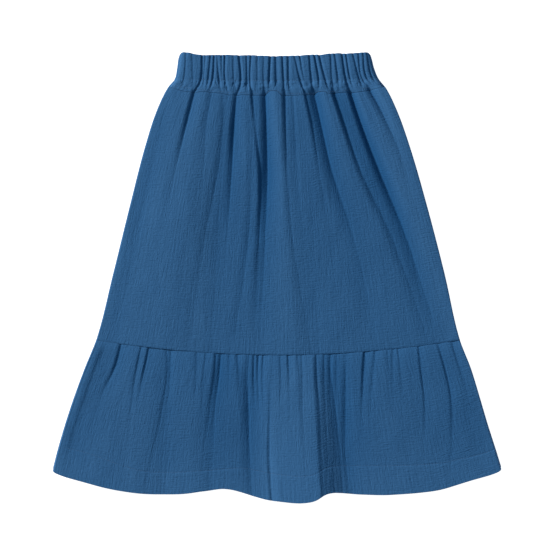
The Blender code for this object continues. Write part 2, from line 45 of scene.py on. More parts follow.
# %% [markdown]
# ## Units and small helpers
# Sewing is measured in millimetres, so the sizes here are too, and they are turned into
# metres once, when a mesh is made. Cloth is a height above the table at each place, so whole
# grids of places are worked out at once as arrays of numbers.

# %% Units, imports and a clean selection
import math

import bpy
import numpy as np

MM = 0.001
bpy.ops.object.select_all(action="DESELECT")

# %% [markdown]
# Edges and folds are drawn through a few measured stations. A smooth curve through them
# keeps the line soft. Straight runs are used for depths, which should never overshoot.


# %% Curves through stations
def curve_through(stations, values, at):
    """Values at some places on the smooth curve through values at rising stations."""
    stations = np.asarray(stations, float)
    values = np.asarray(values, float)
    slopes = np.diff(values) / np.diff(stations)
    inner = 0.5 * (slopes[:-1] + slopes[1:])
    tangents = np.concatenate((slopes[:1], inner, slopes[-1:]))
    at = np.clip(at, stations[0], stations[-1])
    k = np.clip(np.searchsorted(stations, at, side="right") - 1, 0, len(slopes) - 1)
    span = stations[k + 1] - stations[k]
    t = (at - stations[k]) / span
    return ((2 * t ** 3 - 3 * t ** 2 + 1) * values[k]
            + (t ** 3 - 2 * t ** 2 + t) * span * tangents[k]
            + (3 * t ** 2 - 2 * t ** 3) * values[k + 1]
            + (t ** 3 - t ** 2) * span * tangents[k + 1])


def runs_through(stations, values, at):
    """Values at some places on straight runs between values at rising stations."""
    return np.interp(at, stations, values)


def bell(away, width, power=2):
    """1 on a line, falling to 0 away from it; a higher power gives a flatter top."""
    return np.exp(-(away / width) ** power)


print("halfway from 2 to 4:", float(curve_through((0, 1), (2, 4), 0.5)))

# %% [markdown]
# Cloth is never quite even. A soft noise, with a random height at each crossing of a grid
# and smooth slopes between, makes its small wanderings. The seeds are fixed, so the skirt is
# the same each time.

# %% Soft noise
NOISE_CELLS = 64


def soft_noise(x, y, seed):
    """Smooth noise from -1 to 1 with one swell for each unit of x and of y."""
    cells = np.random.default_rng(seed).uniform(-1, 1, (NOISE_CELLS, NOISE_CELLS))
    x, y = np.broadcast_arrays(np.asarray(x, float), np.asarray(y, float))
    x0, y0 = (np.floor(a).astype(int) for a in (x, y))
    fx, fy = (f * f * (3 - 2 * f) for f in (x - x0, y - y0))
    x0, x1 = x0 % NOISE_CELLS, (x0 + 1) % NOISE_CELLS
    y0, y1 = y0 % NOISE_CELLS, (y0 + 1) % NOISE_CELLS
    upper = cells[y0, x0] * (1 - fx) + cells[y0, x1] * fx
    lower = cells[y1, x0] * (1 - fx) + cells[y1, x1] * fx
    return upper * (1 - fy) + lower * fy


print("noise sample:", round(float(soft_noise(0.3, 0.7, 1)), 3))

# %% [markdown]
# ## The pattern's outline
# Seen from above, the skirt is a stack of level lines between two side edges. Each is a
# shallow smile, lower in the middle. The hem is drawn up where its waves lift it.

# %% Level lines and side edges
ORIGIN_DROP = 264.3
SEAM_GAP = 0.15
BACK_HEM_SHORTER = 2.5
WAIST_EDGE = {"edge": 0, "sag": 4.7, "power": 2}
CHANNEL_LINE = {"edge": 31.5, "sag": 2.2, "power": 2}
CASING_SEAM = {"edge": 41.5, "sag": 10, "power": 2}
FLOUNCE_SEAM = {"edge": 337.5, "sag": 17.5, "power": 2}
HEM = {"edge": 488.2, "sag": 38.5, "power": 3}

# Drop below the waist corners, distance of the left edge and of the right edge
OUTLINE = (
    (0, 113.5, 108.8), (3, 115, 110.2), (18, 117.3, 114), (31.5, 120.2, 119.5),
    (41.5, 127.8, 127), (68, 140.7, 140.1), (110, 154.4, 155.2), (180, 172.5, 175.6),
    (260, 192.2, 196.4), (337.5, 212, 214.4), (371, 225.5, 227.2), (406, 238.4, 237.8),
    (438, 249, 247.2), (470, 258.3, 257.4), (488.2, 262.8, 262.8),
)

# Rounded corners: rise, share of the half width that the rounding starts at
WAIST_CORNER = (3.2, 0.955)
HEM_CORNER = (1.8, 0.982)

# Places where the hem is drawn up: centre, lift, spread to the left and to the right
HEM_LIFTS = (
    (-258, -3.9, 20, 20), (-205, -1.2, 20, 18), (-128, 2.6, 20, 20), (-78, -1, 8, 8),
    (-64, 14.5, 30, 31), (-25, -0.9, 14, 14), (-8, -0.6, 8, 8), (24, -1.7, 16, 14),
    (56, 2.3, 6, 6), (70, 9.8, 13, 36), (90, -1.2, 12, 12), (145, 1.1, 16, 16),
    (192, -1, 12, 12), (257, -2.2, 14, 10),
)

# Places where a roll draws the casing's seam up: centre, rise, spread
SEAM_RISES = (
    (-104, -2.4, 13), (-52, -1.2, 9), (-4, 5.6, 8), (51.5, 3, 7), (98, -1.6, 15),
)

# Places where the gathers lift or drop the waist edge: centre, rise, spread
WAIST_RISES = (
    (-88, -1.7, 12), (-70, -0.6, 7), (-31, 0.5, 7), (-3, -0.4, 6), (40, 0.7, 9), (66, 1.1, 11),
)
OUTLINE_DROPS, OUTLINE_LEFTS, OUTLINE_RIGHTS = zip(*OUTLINE)


def side_edges(drop):
    """X of the left and of the right side edge at a drop."""
    left = -curve_through(OUTLINE_DROPS, OUTLINE_LEFTS, drop)
    right = curve_through(OUTLINE_DROPS, OUTLINE_RIGHTS, drop)
    return left, right


def level_drop(line, across):
    """Drop of a level line at shares across the skirt, from -1 at the left to 1."""
    return line["edge"] + line["sag"] * (1 - np.abs(across) ** line["power"])


def hem_lift(x):
    """How far the hem is drawn up at some places."""
    lift = np.zeros_like(x)
    for centre, height, spread_left, spread_right in HEM_LIFTS:
        spread = np.where(x < centre, spread_left, spread_right)
        lift += height * np.exp(-0.5 * ((x - centre) / spread) ** 2)
    return lift


def edge_waves(table, x):
    """How far a table of small waves draws an edge up at some places."""
    return sum(rise * bell(x - centre, spread, 4) for centre, rise, spread in table)


def casing_edges(x, across, x_seam):
    """Drop of the casing's waist edge and of its seam."""
    top = level_drop(WAIST_EDGE, across) - edge_waves(WAIST_RISES, x)
    return top, level_drop(CASING_SEAM, across) - edge_waves(SEAM_RISES, x_seam)


def corner_rise(across, corner):
    """How far a rounded corner leaves its level line."""
    rise, start = corner
    inside = np.clip((np.abs(across) - start) / (1 - start), 0, 1)
    return rise * (1 - np.sqrt(1 - inside ** 2))


def plan(across, down, top_line, bottom_line):
    """X, drop, side edges and length of a piece, at shares across it and down it."""
    edge_drop = top_line["edge"] + down * (bottom_line["edge"] - top_line["edge"])
    left, right = side_edges(edge_drop)
    x = left + 0.5 * (across + 1) * (right - left)
    top = level_drop(top_line, across)
    bottom = level_drop(bottom_line, across)
    if top_line is CASING_SEAM:
        top = top - edge_waves(SEAM_RISES, x)
    if bottom_line is HEM:
        bottom = bottom - hem_lift(x) - corner_rise(across, HEM_CORNER)
    return x, top + down * (bottom - top), left, right, bottom - top


print("hem is", round(float(np.diff(side_edges(487))[0]), 1), "mm wide")

# %% [markdown]
# ## How a crease is shaped
# A pressed fold in soft cotton isn't an even groove. From the left the cloth rolls over and
# falls into the crease. To the right it climbs out slowly, after a small pinch at the bottom
# that shows as a fine dark line. An even groove would look cut with a tool, so each side has
# a width of its own. Folds widen as they run down, because the gathers let go.

# %% Crease profile and the sum of many
SOFT_TAPS = (-0.5, 0, 0.5)
PINCH = 0.22
PINCH_REACH = 0.8
ROLL_POWER = 1.8
SLIDE_POWER = 1.4
DARK_TO_BOTTOM = 1.6


def crease_profile(away, fall, rise):
    """Depth share of one crease: a roll falls into it from the left, then cloth rises."""
    roll = np.clip(1 + away / fall, 0, 1) ** ROLL_POWER
    slide = (1 - PINCH) * np.clip(1 - away / rise, 0, 1) ** SLIDE_POWER
    slide = slide + PINCH * np.exp(-np.maximum(away, 0) / PINCH_REACH)
    return np.where(away < 0, roll, slide)


def creases(table, stations, x, down, widening=0, slide=1):
    """Depth of a table's creases at places x, at shares down the piece.

    Widening is the share that they are wider by at the bottom, and slide is how many times
    as wide as in the table their rising sides are.
    """
    n = len(stations)
    depth = np.zeros(np.broadcast(x, down).shape)
    grown = 1 + widening * down
    for row in table:
        place = curve_through(stations, row[:n], down) + DARK_TO_BOTTOM
        here = runs_through(stations, row[n:2 * n], down)
        fall, rise = row[2 * n] * grown, row[2 * n + 1] * grown * slide
        soft = sum(crease_profile(x - place + tap, fall, rise) for tap in SOFT_TAPS)
        depth += here * soft / len(SOFT_TAPS)
    return depth


print("3 mm before a crease that falls over 6 mm:",
      round(float(crease_profile(np.array(-3), 6, 9)), 2))

# %% [markdown]
# ## The crinkle of double gauze
# Double gauze is two thin cloths tacked together. When it is washed, the two shrink
# unevenly and the cloth crinkles into little ridges along the warp, about 5 mm apart, which
# wander and fade. These are real relief in the mesh. The finer ones, the tacks and the
# threads are left to the material, which reads the same places on the cut cloth.

# %% Crinkle relief
RIDGE_PITCH = 5
FINE_PITCH = 2.7
CRINKLE_HEIGHT = 0.09
SLACK_HEIGHT = 0.35


def crinkle(u, v, seed):
    """Relief of the crinkled cloth, from about -1 to 1, at places on the cut cloth."""
    wander = 0.42 * soft_noise(u / 15, v / 42, seed)
    wander = wander + 0.22 * soft_noise(u / 6, v / 17, seed + 1)
    swell = 0.62 + 0.38 * soft_noise(u / 9, v / 20, seed + 2)
    ridges = np.sin(2 * np.pi * (u / RIDGE_PITCH + wander))
    fine = soft_noise(u / FINE_PITCH, v / 30, seed + 3)
    pucker = soft_noise(u / 8.5, v / 7.6, seed + 4)
    return 0.45 * swell * ridges + 0.7 * fine + 0.5 * pucker


def slack(x, drop, seed):
    """Broad soft unevenness of cloth that was smoothed by hand, from about -1 to 1."""
    broad = soft_noise(x / 34, drop / 46, seed)
    return broad + 0.5 * soft_noise(x / 15, drop / 24, seed + 1)


print("crinkle at the middle:", round(float(crinkle(0, 0, 3)), 2))

# %% [markdown]
# ## From heights to a closed cloth
# Each piece is a thin closed wall. Its upper and its lower face are two grids of points that
# meet along the border. The wall thins to nothing there along a quarter round, so an edge
# looks soft. Rows and columns are packed closer where the cloth turns.

# %% Spacing of rows and columns
EDGE_STEPS = (0.1, 0.3, 0.6, 1, 1.5, 2.1, 2.9, 3.9, 5.1)


def spaced(length, step, steps_at_start=EDGE_STEPS, steps_at_end=EDGE_STEPS):
    """Shares along a length: close together at both ends and a step apart between."""
    first = steps_at_start[-1]
    last = length - steps_at_end[-1]
    count = max(2, round((last - first) / step))
    middle = np.linspace(first, last, count + 1)[1:-1]
    places = [0, *steps_at_start, *middle, *(length - s for s in reversed(steps_at_end)), length]
    return np.array(places) / length


def edge_round(away, reach):
    """0 on an edge, 1 from a reach inside it, along a quarter round."""
    inside = np.clip(away / reach, 0, 1)
    return np.sqrt(1 - (1 - inside) ** 2)


print("rows down a flounce:", len(spaced(165, 3)))


# %% Build one closed wall of cloth
def new_piece(name, mesh):
    """Object of a mesh, put into the scene."""
    piece = bpy.data.objects.new(name, mesh)
    bpy.context.scene.collection.objects.link(piece)
    return piece


def cloth_wall(name, upper, lower, u, v, painted_fold_shade, loop=False):
    """Object of two grids of points that share their border, with its cut as UV map."""
    rows, columns = upper.shape[:2]
    ids_up = np.arange(rows * columns).reshape(rows, columns)
    free = np.zeros((rows, columns), bool)
    free[1:-1, slice(None) if loop else slice(1, -1)] = True
    ids_low = ids_up.copy()
    ids_low[free] = rows * columns + np.arange(free.sum())
    points = np.concatenate((upper.reshape(-1, 3), lower[free]))
    painted_fold_shades = np.concatenate((painted_fold_shade.reshape(-1), painted_fold_shade[free]))
    if loop:
        ids_up = np.hstack((ids_up, ids_up[:, :1]))
        ids_low = np.hstack((ids_low, ids_low[:, :1]))

    def corners(grid):
        return np.stack((grid[:-1, :-1], grid[1:, :-1], grid[1:, 1:], grid[:-1, 1:]), -1)

    up = corners(ids_up).reshape(-1, 4)
    low = corners(ids_low).reshape(-1, 4)[:, ::-1]
    faces = np.concatenate((up, low))
    cut = np.stack((corners(u), corners(v)), -1).reshape(-1, 4, 2)
    cut = np.concatenate((cut, cut[:, ::-1])) * MM
    mesh = bpy.data.meshes.new(name)
    mesh.from_pydata(points * MM, [], faces.tolist())
    mesh.uv_layers.new(name="cut").data.foreach_set("uv", cut.astype(np.float32).ravel())
    # Each point carries the shade that is painted into the folds.
    mesh.attributes.new("painted_fold_shade", "FLOAT", "POINT").data.foreach_set("value", painted_fold_shades)
    mesh.shade_smooth()
    print(name, "has", 2 * len(faces), "triangles")
    return new_piece(name, mesh)


# %% [markdown]
# ## Cloth finishes
# Cotton gauze is matt, with a faint bloom of loose fibre that catches light at a glance.
# It is dyed a mid blue and softly streaked, with shade painted into the folds. Some patches
# of it are ridged along the warp and others barred across it. These, the tacks and the
# threads are small bumps. All of them read the cut cloth's UV map, so the weave fans out
# with the cloth.

# %% A few words for building materials
THREAD_PITCH = 0.9
TACK_PITCH = 7.6

# Heights of the bumps in millimetres: ridges and bars outside a ridged patch, and what the
# patch adds to them
PUCKER_BUMP = 0.22
RIDGE_BUMP, RIDGE_IN_PATCH = 0.24, 0.4
BAR_BUMP, BAR_IN_PATCH = 0.95, -0.6
THREAD_BUMP = 0.016
TACK_ROW_BUMP, TACK_BUMP = -0.035, -0.09
PATCH_CONTRAST, PATCH_START = 3.6, -1.3
FOLD_SHADE = 0.85


class Nodes:
    """A new material, with short ways to add and wire its nodes."""

    def __init__(self, name):
        self.material = bpy.data.materials.new(name)
        self.material.use_nodes = True
        self.tree = self.material.node_tree

    def add(self, kind, settings=(), inputs=()):
        node = self.tree.nodes.new(kind)
        for key, value in dict(settings).items():
            setattr(node, key, value)
        for key, value in dict(inputs).items():
            self.feed(node.inputs[key], value)
        return node

    def feed(self, socket, value):
        if isinstance(value, bpy.types.NodeSocket):
            self.tree.links.new(value, socket)
        else:
            socket.default_value = value

    def maths(self, operation, a, b=0, c=0):
        node = self.add("ShaderNodeMath", {"operation": operation})
        for socket, value in zip(node.inputs, (a, b, c)):
            self.feed(socket, value)
        return node.outputs[0]

    def scaled(self, value, by, plus=0):
        return self.maths("MULTIPLY_ADD", value, by, plus)

    def mix(self, share, a, b):
        node = self.add("ShaderNodeMix", {"data_type": "RGBA"})
        self.feed(node.inputs["Factor"], share)
        self.feed(node.inputs["A"], a)
        self.feed(node.inputs["B"], b)
        return node.outputs["Result"]

    def surface(self, inputs):
        for key, value in inputs.items():
            self.feed(self.tree.nodes["Principled BSDF"].inputs[key], value)
        return self.material


# %% Double gauze
def gauze(name, lit, deep, thread_strength=1):
    """Matt crinkled double gauze in one colour, with shade painted into its folds."""
    make = Nodes(name)
    uv = make.add("ShaderNodeUVMap", {"uv_map": "cut"}).outputs["UV"]
    split = make.add("ShaderNodeSeparateXYZ", inputs={"Vector": uv})
    u, v = split.outputs["X"], split.outputs["Y"]

    def noise(across_mm, down_mm, detail=2, rough=0.5):
        size = make.add("ShaderNodeMapping", inputs={
            "Vector": uv, "Scale": (1 / (across_mm * MM), 1 / (down_mm * MM), 1)})
        node = make.add("ShaderNodeTexNoise", inputs={
            "Vector": size.outputs[0], "Scale": 1, "Detail": detail, "Roughness": rough})
        return node.outputs["Fac"]

    def wave(along, pitch_mm):
        return make.maths("SINE", make.scaled(along, 2 * math.pi / (pitch_mm * MM)))

    weave = make.scaled(wave(u, THREAD_PITCH), wave(v, THREAD_PITCH))
    tack_u = make.maths("ABSOLUTE", wave(u, 2 * TACK_PITCH))
    tack_v = make.maths("ABSOLUTE", wave(v, 2 * TACK_PITCH))
    tack_row = make.maths("POWER", tack_v, 14)
    tack = make.maths("POWER", make.scaled(tack_u, tack_v), 24)
    ridges = noise(1.5, 13, detail=2, rough=0.6)
    bars = noise(11, 1.7, detail=2, rough=0.6)
    puckers = noise(2.6, 3.2, detail=1)
    patches = noise(24, 30, detail=1)
    patches = make.scaled(patches, PATCH_CONTRAST, PATCH_START)
    patches = make.maths("MINIMUM", make.maths("MAXIMUM", patches, 0), 1)
    ridged = make.scaled(patches, RIDGE_IN_PATCH, RIDGE_BUMP)
    barred = make.scaled(patches, BAR_IN_PATCH, BAR_BUMP)
    height = make.scaled(puckers, PUCKER_BUMP)
    for form, bump_height in ((ridges, ridged), (bars, barred),
                              (weave, THREAD_BUMP * thread_strength),
                              (tack_row, TACK_ROW_BUMP), (tack, TACK_BUMP)):
        height = make.scaled(form, bump_height, height)
    bump = make.add("ShaderNodeBump", inputs={
        "Strength": 1, "Distance": MM, "Height": height})

    painted_fold_shade = make.add("ShaderNodeAttribute", {"attribute_name": "painted_fold_shade"}).outputs["Fac"]
    mottle = noise(22, 34, detail=3)
    streaks = noise(1.3, 26, detail=2)
    paler = make.scaled(mottle, 0.5, make.scaled(streaks, 0.5))
    ground = make.mix(paler, deep, lit)
    threads = make.scaled(weave, 0.05, 0.5)
    thread_tone_and_painted_edge_light = make.mix(threads, ground, lit)
    # Painted shade: the colour darkens towards the deep blue where shade is painted into the
    # folds.
    colour = make.mix(make.scaled(painted_fold_shade, FOLD_SHADE), thread_tone_and_painted_edge_light, deep)
    return make.surface({
        "Base Color": colour, "Normal": bump.outputs["Normal"],
        "Roughness": make.scaled(mottle, 0.08, 0.86), "Specular IOR Level": 0.18,
        "Sheen Weight": 0.08, "Sheen Roughness": 0.45, "Sheen Tint": (0.35, 0.55, 0.85, 1)})


# BLUE_DEEP is both the darker streaks of the dye and the painted shade in the folds.
BLUE_LIT = (0.0312, 0.1095, 0.2430, 1)
BLUE_DEEP = (0.0030, 0.0550, 0.1600, 1)
body_gauze = gauze("body gauze", BLUE_LIT, BLUE_DEEP)
casing_gauze = gauze("casing gauze", BLUE_LIT, BLUE_DEEP, thread_strength=0.8)
print("cloth finishes:", body_gauze.name, "and", casing_gauze.name)


# %% Sewing thread
def thread_finish(name, colour):
    """Spun polyester thread: a twist of two fine strands with a soft gloss."""
    make = Nodes(name)
    place = make.add("ShaderNodeTexCoord").outputs["Object"]
    twist = make.add("ShaderNodeTexWave", {"bands_direction": "DIAGONAL"}, {
        "Vector": place, "Scale": 900, "Distortion": 1}).outputs["Fac"]
    bump = make.add("ShaderNodeBump", inputs={
        "Strength": 0.6, "Distance": 0.05 * MM, "Height": twist})
    shade = make.mix(twist, tuple(0.8 * c for c in colour[:3]) + (1,), colour)
    return make.surface({"Base Color": shade, "Normal": bump.outputs["Normal"],
                         "Roughness": 0.6, "Sheen Weight": 0.1})


THREAD_BLUE = (0.0260, 0.0960, 0.2250, 1)
blue_thread = thread_finish("blue thread", THREAD_BLUE)
print("thread finish:", blue_thread.name)

# %% [markdown]
# ## The front body panel
# The panel is a flared piece of gauze gathered into the narrower casing. Its folds start at
# the casing's seam and fan out towards the flounce, where they have nearly gone. Each row of
# the table is one fold, placed at five stations between the two seams. Broad soft swells lie
# between some of them.

# %% Folds of the front panel
WALL = 0.9
EDGE_SINK = 0.3

# Share of the length from the top, height of the cloth above the table
PANEL_HEIGHT = ((0, 9.4), (0.06, 11), (0.25, 11.4), (0.5, 9.8), (0.8, 7.4), (0.95, 6.4), (1, 6))
SHOULDER = 1.3
LONG_SHOULDER = 45
LONG_SHARE = 0.26
PANEL_WIDENING = 1.8
SWELL_POWER = 1.6
FLOOR_EASE = 0.25

# Place at the five stations, depth at the same five, width of the falling side and of the
# rising side at the seam
PANEL_STATIONS = (0, 0.12, 0.3, 0.55, 1)
PANEL_FOLDS = (
    (-98.5, -107.2, -119.5, -135, -152, 3, 3, 0.6, 0, 0, 5, 15),
    (-77.5, -83.5, -87, -95, -105, 1.4, 1.4, 0.4, 0, 0, 15, 11),
    (-64.5, -64.5, -70.5, -85, -104, 0.3, 0.8, 1.4, 0.8, 0.2, 6, 14),
    (-49, -52, -54.5, -60, -75, 2.3, 4, 2.4, 0.3, 0, 6, 11),
    (-34, -32, -31, -34.5, -54, 0, 0.1, 0.5, 1.2, 0.2, 5, 9),
    (-31, -27, -20.8, -22.5, -30, 2.6, 0.9, 2.8, 1.4, 0, 3, 22),
    (-15.4, -14, -12.8, -15, -22, 4.2, 4.2, 4.4, 1.6, 0, 8, 11),
    (7.8, 8.8, 10.8, 17, 40, 3, 2.4, 1.2, 0.8, 0.4, 5, 12),
    (17.5, 19.5, 22, 30, 54, 1.3, 1.4, 0.8, 0.3, 0, 9, 16),
    (32.4, 40, 48, 60, 80, 2.8, 2.2, 0.6, 0.2, 0, 4, 22),
    (42.2, 50, 63.2, 88, 118, 5.2, 4.6, 3.4, 1.2, 0.3, 10, 13),
    (65.2, 77.4, 96.5, 130.5, 178, 4.6, 3.8, 2.6, 1.6, 0.4, 5, 28),
    (84.6, 96.9, 117.2, 147, 190, 5, 4.8, 3.8, 1.6, 0, 6, 9),
    (84.2, 96.3, 116.5, 147, 190, 0.4, 1, 1.8, 1.4, 0, 14, 9),
    (107.6, 125.5, 147, 162, 190, 4.6, 2.4, 0.6, 0, 0, 8, 9),
)

# Broad swells: left foot, crest and right foot at the top and at the bottom of the piece,
# height at its top, middle and bottom, and how sharp the crest is, from 0 to 1
PANEL_SWELLS = (
    (-126, -88, -60, -190, -130, -76, 1.2, 3.4, 1.4, 0),
    (-12, 4, 34, -20, 22, 50, 0.8, 1.2, 1.2, 0.6),
    (100, 130, 160, 186, 216, 250, 2.4, 1.8, 0.6, 0),
)


def shoulder(x, left, right, width):
    """Rounding towards the side edges: 0 at an edge, 1 a shoulder's width inside it."""
    return edge_round(np.minimum(x - left, right - x), width)


def crown_share(x, left, right):
    """Share of the full height: a quick rounding at both sides, a long one at the left."""
    quick = shoulder(x, left, right, SHOULDER)
    return quick * (1 - LONG_SHARE + LONG_SHARE * edge_round(x - left, LONG_SHOULDER))


def swells(table, x, down):
    """Height of the broad swells of a table."""
    rise = np.zeros(np.broadcast(x, down).shape)
    for row in table:
        foot, crest, far_foot = (a + (b - a) * down for a, b in zip(row[:3], row[3:6]))
        here = runs_through((0, 0.5, 1), row[6:9], down)
        sharp, round_share = row[9], 1 - row[9]
        up = np.clip((x - foot) / (crest - foot), 0, 1)
        fall = np.clip((far_foot - x) / (far_foot - crest), 0, 1)
        dive = sharp * fall ** SWELL_POWER + round_share * (1 - (1 - fall) ** SWELL_POWER)
        climb = sharp * up * up * (3 - 2 * up)
        climb = climb + round_share * (1 - (1 - up) ** SWELL_POWER)
        rise += here * np.where(x < crest, climb, dive)
    return rise


def height_at(table, down):
    """Height of a piece away from its creases, at shares of its length."""
    return curve_through(*zip(*table), down)


def soft_floor(height, lowest):
    """Height eased so that it never falls under the lowest one."""
    above = height - lowest
    return lowest + 0.5 * (above + np.sqrt(above ** 2 + FLOOR_EASE))


print(len(PANEL_FOLDS), "folds and", len(PANEL_SWELLS), "swells in the front panel")

# %% [markdown]
# The front must clear the back that it lies on, so it has a lowest height: two walls and a
# little air. At its sides it rounds down over a shoulder to the side seam, where the
# allowances inside press through as a low welt.

# %% Surface of the front panel
LOWEST_FRONT = 2.7
GROOVE_ROOM = 0.3
FLOOR_SHOULDER = 12
QUIET_EDGE = 6
PANEL_CUT = (430, 312)

# Width of the welt and of the step on its inner side, rise beside it and how far that
# reaches, place, width and depth of the line where the seam is sewn
WELT_WIDTH, WELT_STEP = 10.4, 2.2
SIDE_RISE, SIDE_REACH = 1.3, 22
LINE_PLACE, LINE_WIDTH, LINE_DEPTH = 2.7, 0.8, 0.3
PANEL_WELT = 0.1

# How far cloth sinks at a seam, and how wide the roll beside it is
SEAM_ROLL = 1.3
CASING_SEAM_DIP = 0.42
PANEL_FOOT_DIP = 0.35
FLOUNCE_TOP_DIP = 0.49


def front_floor(x, left, right):
    """Lowest outer height of a front piece."""
    return LOWEST_FRONT + GROOVE_ROOM * shoulder(x, left, right, FLOOR_SHOULDER)


def quiet_sides(x, left, right):
    """Share of the cloth's unevenness that is left near the side seams."""
    return np.clip(np.minimum(x - left, right - x) / QUIET_EDGE, 0, 1)


def side_welt(x, left, right, height_left, height_right):
    """Welt of the side seam's allowance: a low band with a step on its inner side."""
    rise = np.zeros_like(x)
    for away, height in ((x - left, height_left), (right - x, height_right)):
        band = 0.5 - 0.5 * np.tanh((away - WELT_WIDTH) / WELT_STEP)
        line = bell(away - LINE_PLACE, LINE_WIDTH)
        rise += height * (band + SIDE_RISE * np.exp(-away / SIDE_REACH) - LINE_DEPTH * line)
    return rise


def seam_dip(away, depth):
    """How far cloth sinks into a sewn seam at distances from it."""
    return depth * bell(away, SEAM_ROLL, 1.5)


def panel_surface(across, down):
    """X, drop, height, fold shade and cut coordinates of the front panel."""
    x, drop, left, right, length = plan(across, down, CASING_SEAM, FLOUNCE_SEAM)
    u = 0.5 * PANEL_CUT[0] * across
    v = PANEL_CUT[1] * down
    lowest = front_floor(x, left, right)
    relief = creases(PANEL_FOLDS, PANEL_STATIONS, x, down, PANEL_WIDENING)
    relief = relief - swells(PANEL_SWELLS, x, down)
    crown = height_at(PANEL_HEIGHT, down) - lowest
    height = lowest + crown * crown_share(x, left, right) - relief
    uneven = CRINKLE_HEIGHT * crinkle(u, v, seed=11) + SLACK_HEIGHT * slack(x, drop, seed=21)
    height += quiet_sides(x, left, right) * uneven
    height += side_welt(x, left, right, PANEL_WELT, PANEL_WELT)
    height -= seam_dip(down * length, CASING_SEAM_DIP)
    height -= seam_dip((1 - down) * length, PANEL_FOOT_DIP)
    return x, drop, soft_floor(height, lowest), relief, u, v


sample = panel_surface(np.array([[0.0]]), np.array([[0.5]]))
print("height at the middle of the panel:", round(float(sample[2][0, 0]), 2), "mm")


# %% Sew up a front piece
# Depth at which a fold is fully painted with shade, how much pale light is painted along
# the side edges, and how far in from them that reaches
FOLD_FULL = 5
PAINTED_EDGE_LIGHT = 0.3
PAINTED_EDGE_LIGHT_REACH = 5


def sheet_grid(down, columns):
    """Shares across, from -1 to 1, and shares down at each point of a sheet."""
    across = np.broadcast_to(2 * columns[None, :] - 1, (len(down), len(columns)))
    return across, np.broadcast_to(down, across.shape)


def from_edges(x, drop):
    """Distance from the side edges, and from the nearest edge of all."""
    side = np.minimum(x - x[:, :1], x[:, -1:] - x)
    return side, np.minimum(side, np.minimum(drop - drop[:1, :], drop[-1:, :] - drop))


def front_sheet(name, surface, shade, down, columns):
    """Closed sheet of cloth from a surface, resting over the back."""
    across, down = sheet_grid(down, columns)
    x, drop, height, relief, u, v = surface(across, down)
    away_side, away = from_edges(x, drop)
    full = edge_round(away, 0.5 * WALL)
    y = ORIGIN_DROP - drop
    upper = np.stack((x, y, height - EDGE_SINK * (1 - full)), -1)
    lower = np.stack((x, y, height - EDGE_SINK - (WALL - EDGE_SINK) * full), -1)
    # Painted highlight: a pale rim of light is painted along the side edges by taking shade away
    # there.
    thread_tone_and_painted_edge_light = PAINTED_EDGE_LIGHT * np.exp(-away_side / PAINTED_EDGE_LIGHT_REACH)
    ground = runs_through(*zip(*shade), down)
    # Painted shade: the deeper a fold, the more of the deep colour is painted into it.
    painted_fold_shade = np.clip(ground - thread_tone_and_painted_edge_light + relief / FOLD_FULL, 0, 1)
    return cloth_wall(name, upper, lower, u, v, painted_fold_shade)


# Share of the length from the top, share of the folds' deep colour that is there all over
PANEL_SHADE = ((0, 0.25), (0.5, 0.24), (0.8, 0.14), (1, 0.12))
panel_rows = spaced(305, 4.3)[:, None]
panel_columns = spaced(345, 0.62)
front_body = front_sheet("front_body", panel_surface, PANEL_SHADE, panel_rows, panel_columns)
front_body.data.materials.append(body_gauze)
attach(front_body, "root")
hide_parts("front_panel")

# %% [markdown]
# ## The front flounce
# The flounce is cut wider than the seam it hangs from, and gathered into it. Some three
# dozen small gathers leave the seam. Most of them run out within a hand's breadth, and a
# few carry on to the hem as real folds. The hem is turned up some 30 mm and stitched. The
# stitch line wanders, so the mesh gets rows that follow it: rows straight across would
# break its fine groove into steps.

# %% Gathers of the front flounce
FLOUNCE_HEIGHT = ((0, 6), (0.06, 7.4), (0.3, 7.4), (0.6, 6.6), (0.82, 6.2), (1, 7.2))

# Broad swells, with the same columns as the panel's
FLOUNCE_SWELLS = (
    (-228, -160, -126, -246, -168, -130, 0.8, 1.8, 1.2, 0),
    (-128, -100, -78, -136, -102, -80, 0.5, 1.2, 0.8, 0),
    (-34, 40, 78, -38, 51, 88, 0.8, 6.4, 9, 1),
    (84, 118, 210, 92, 128, 235, 0.2, 1, 1.2, 0),
)

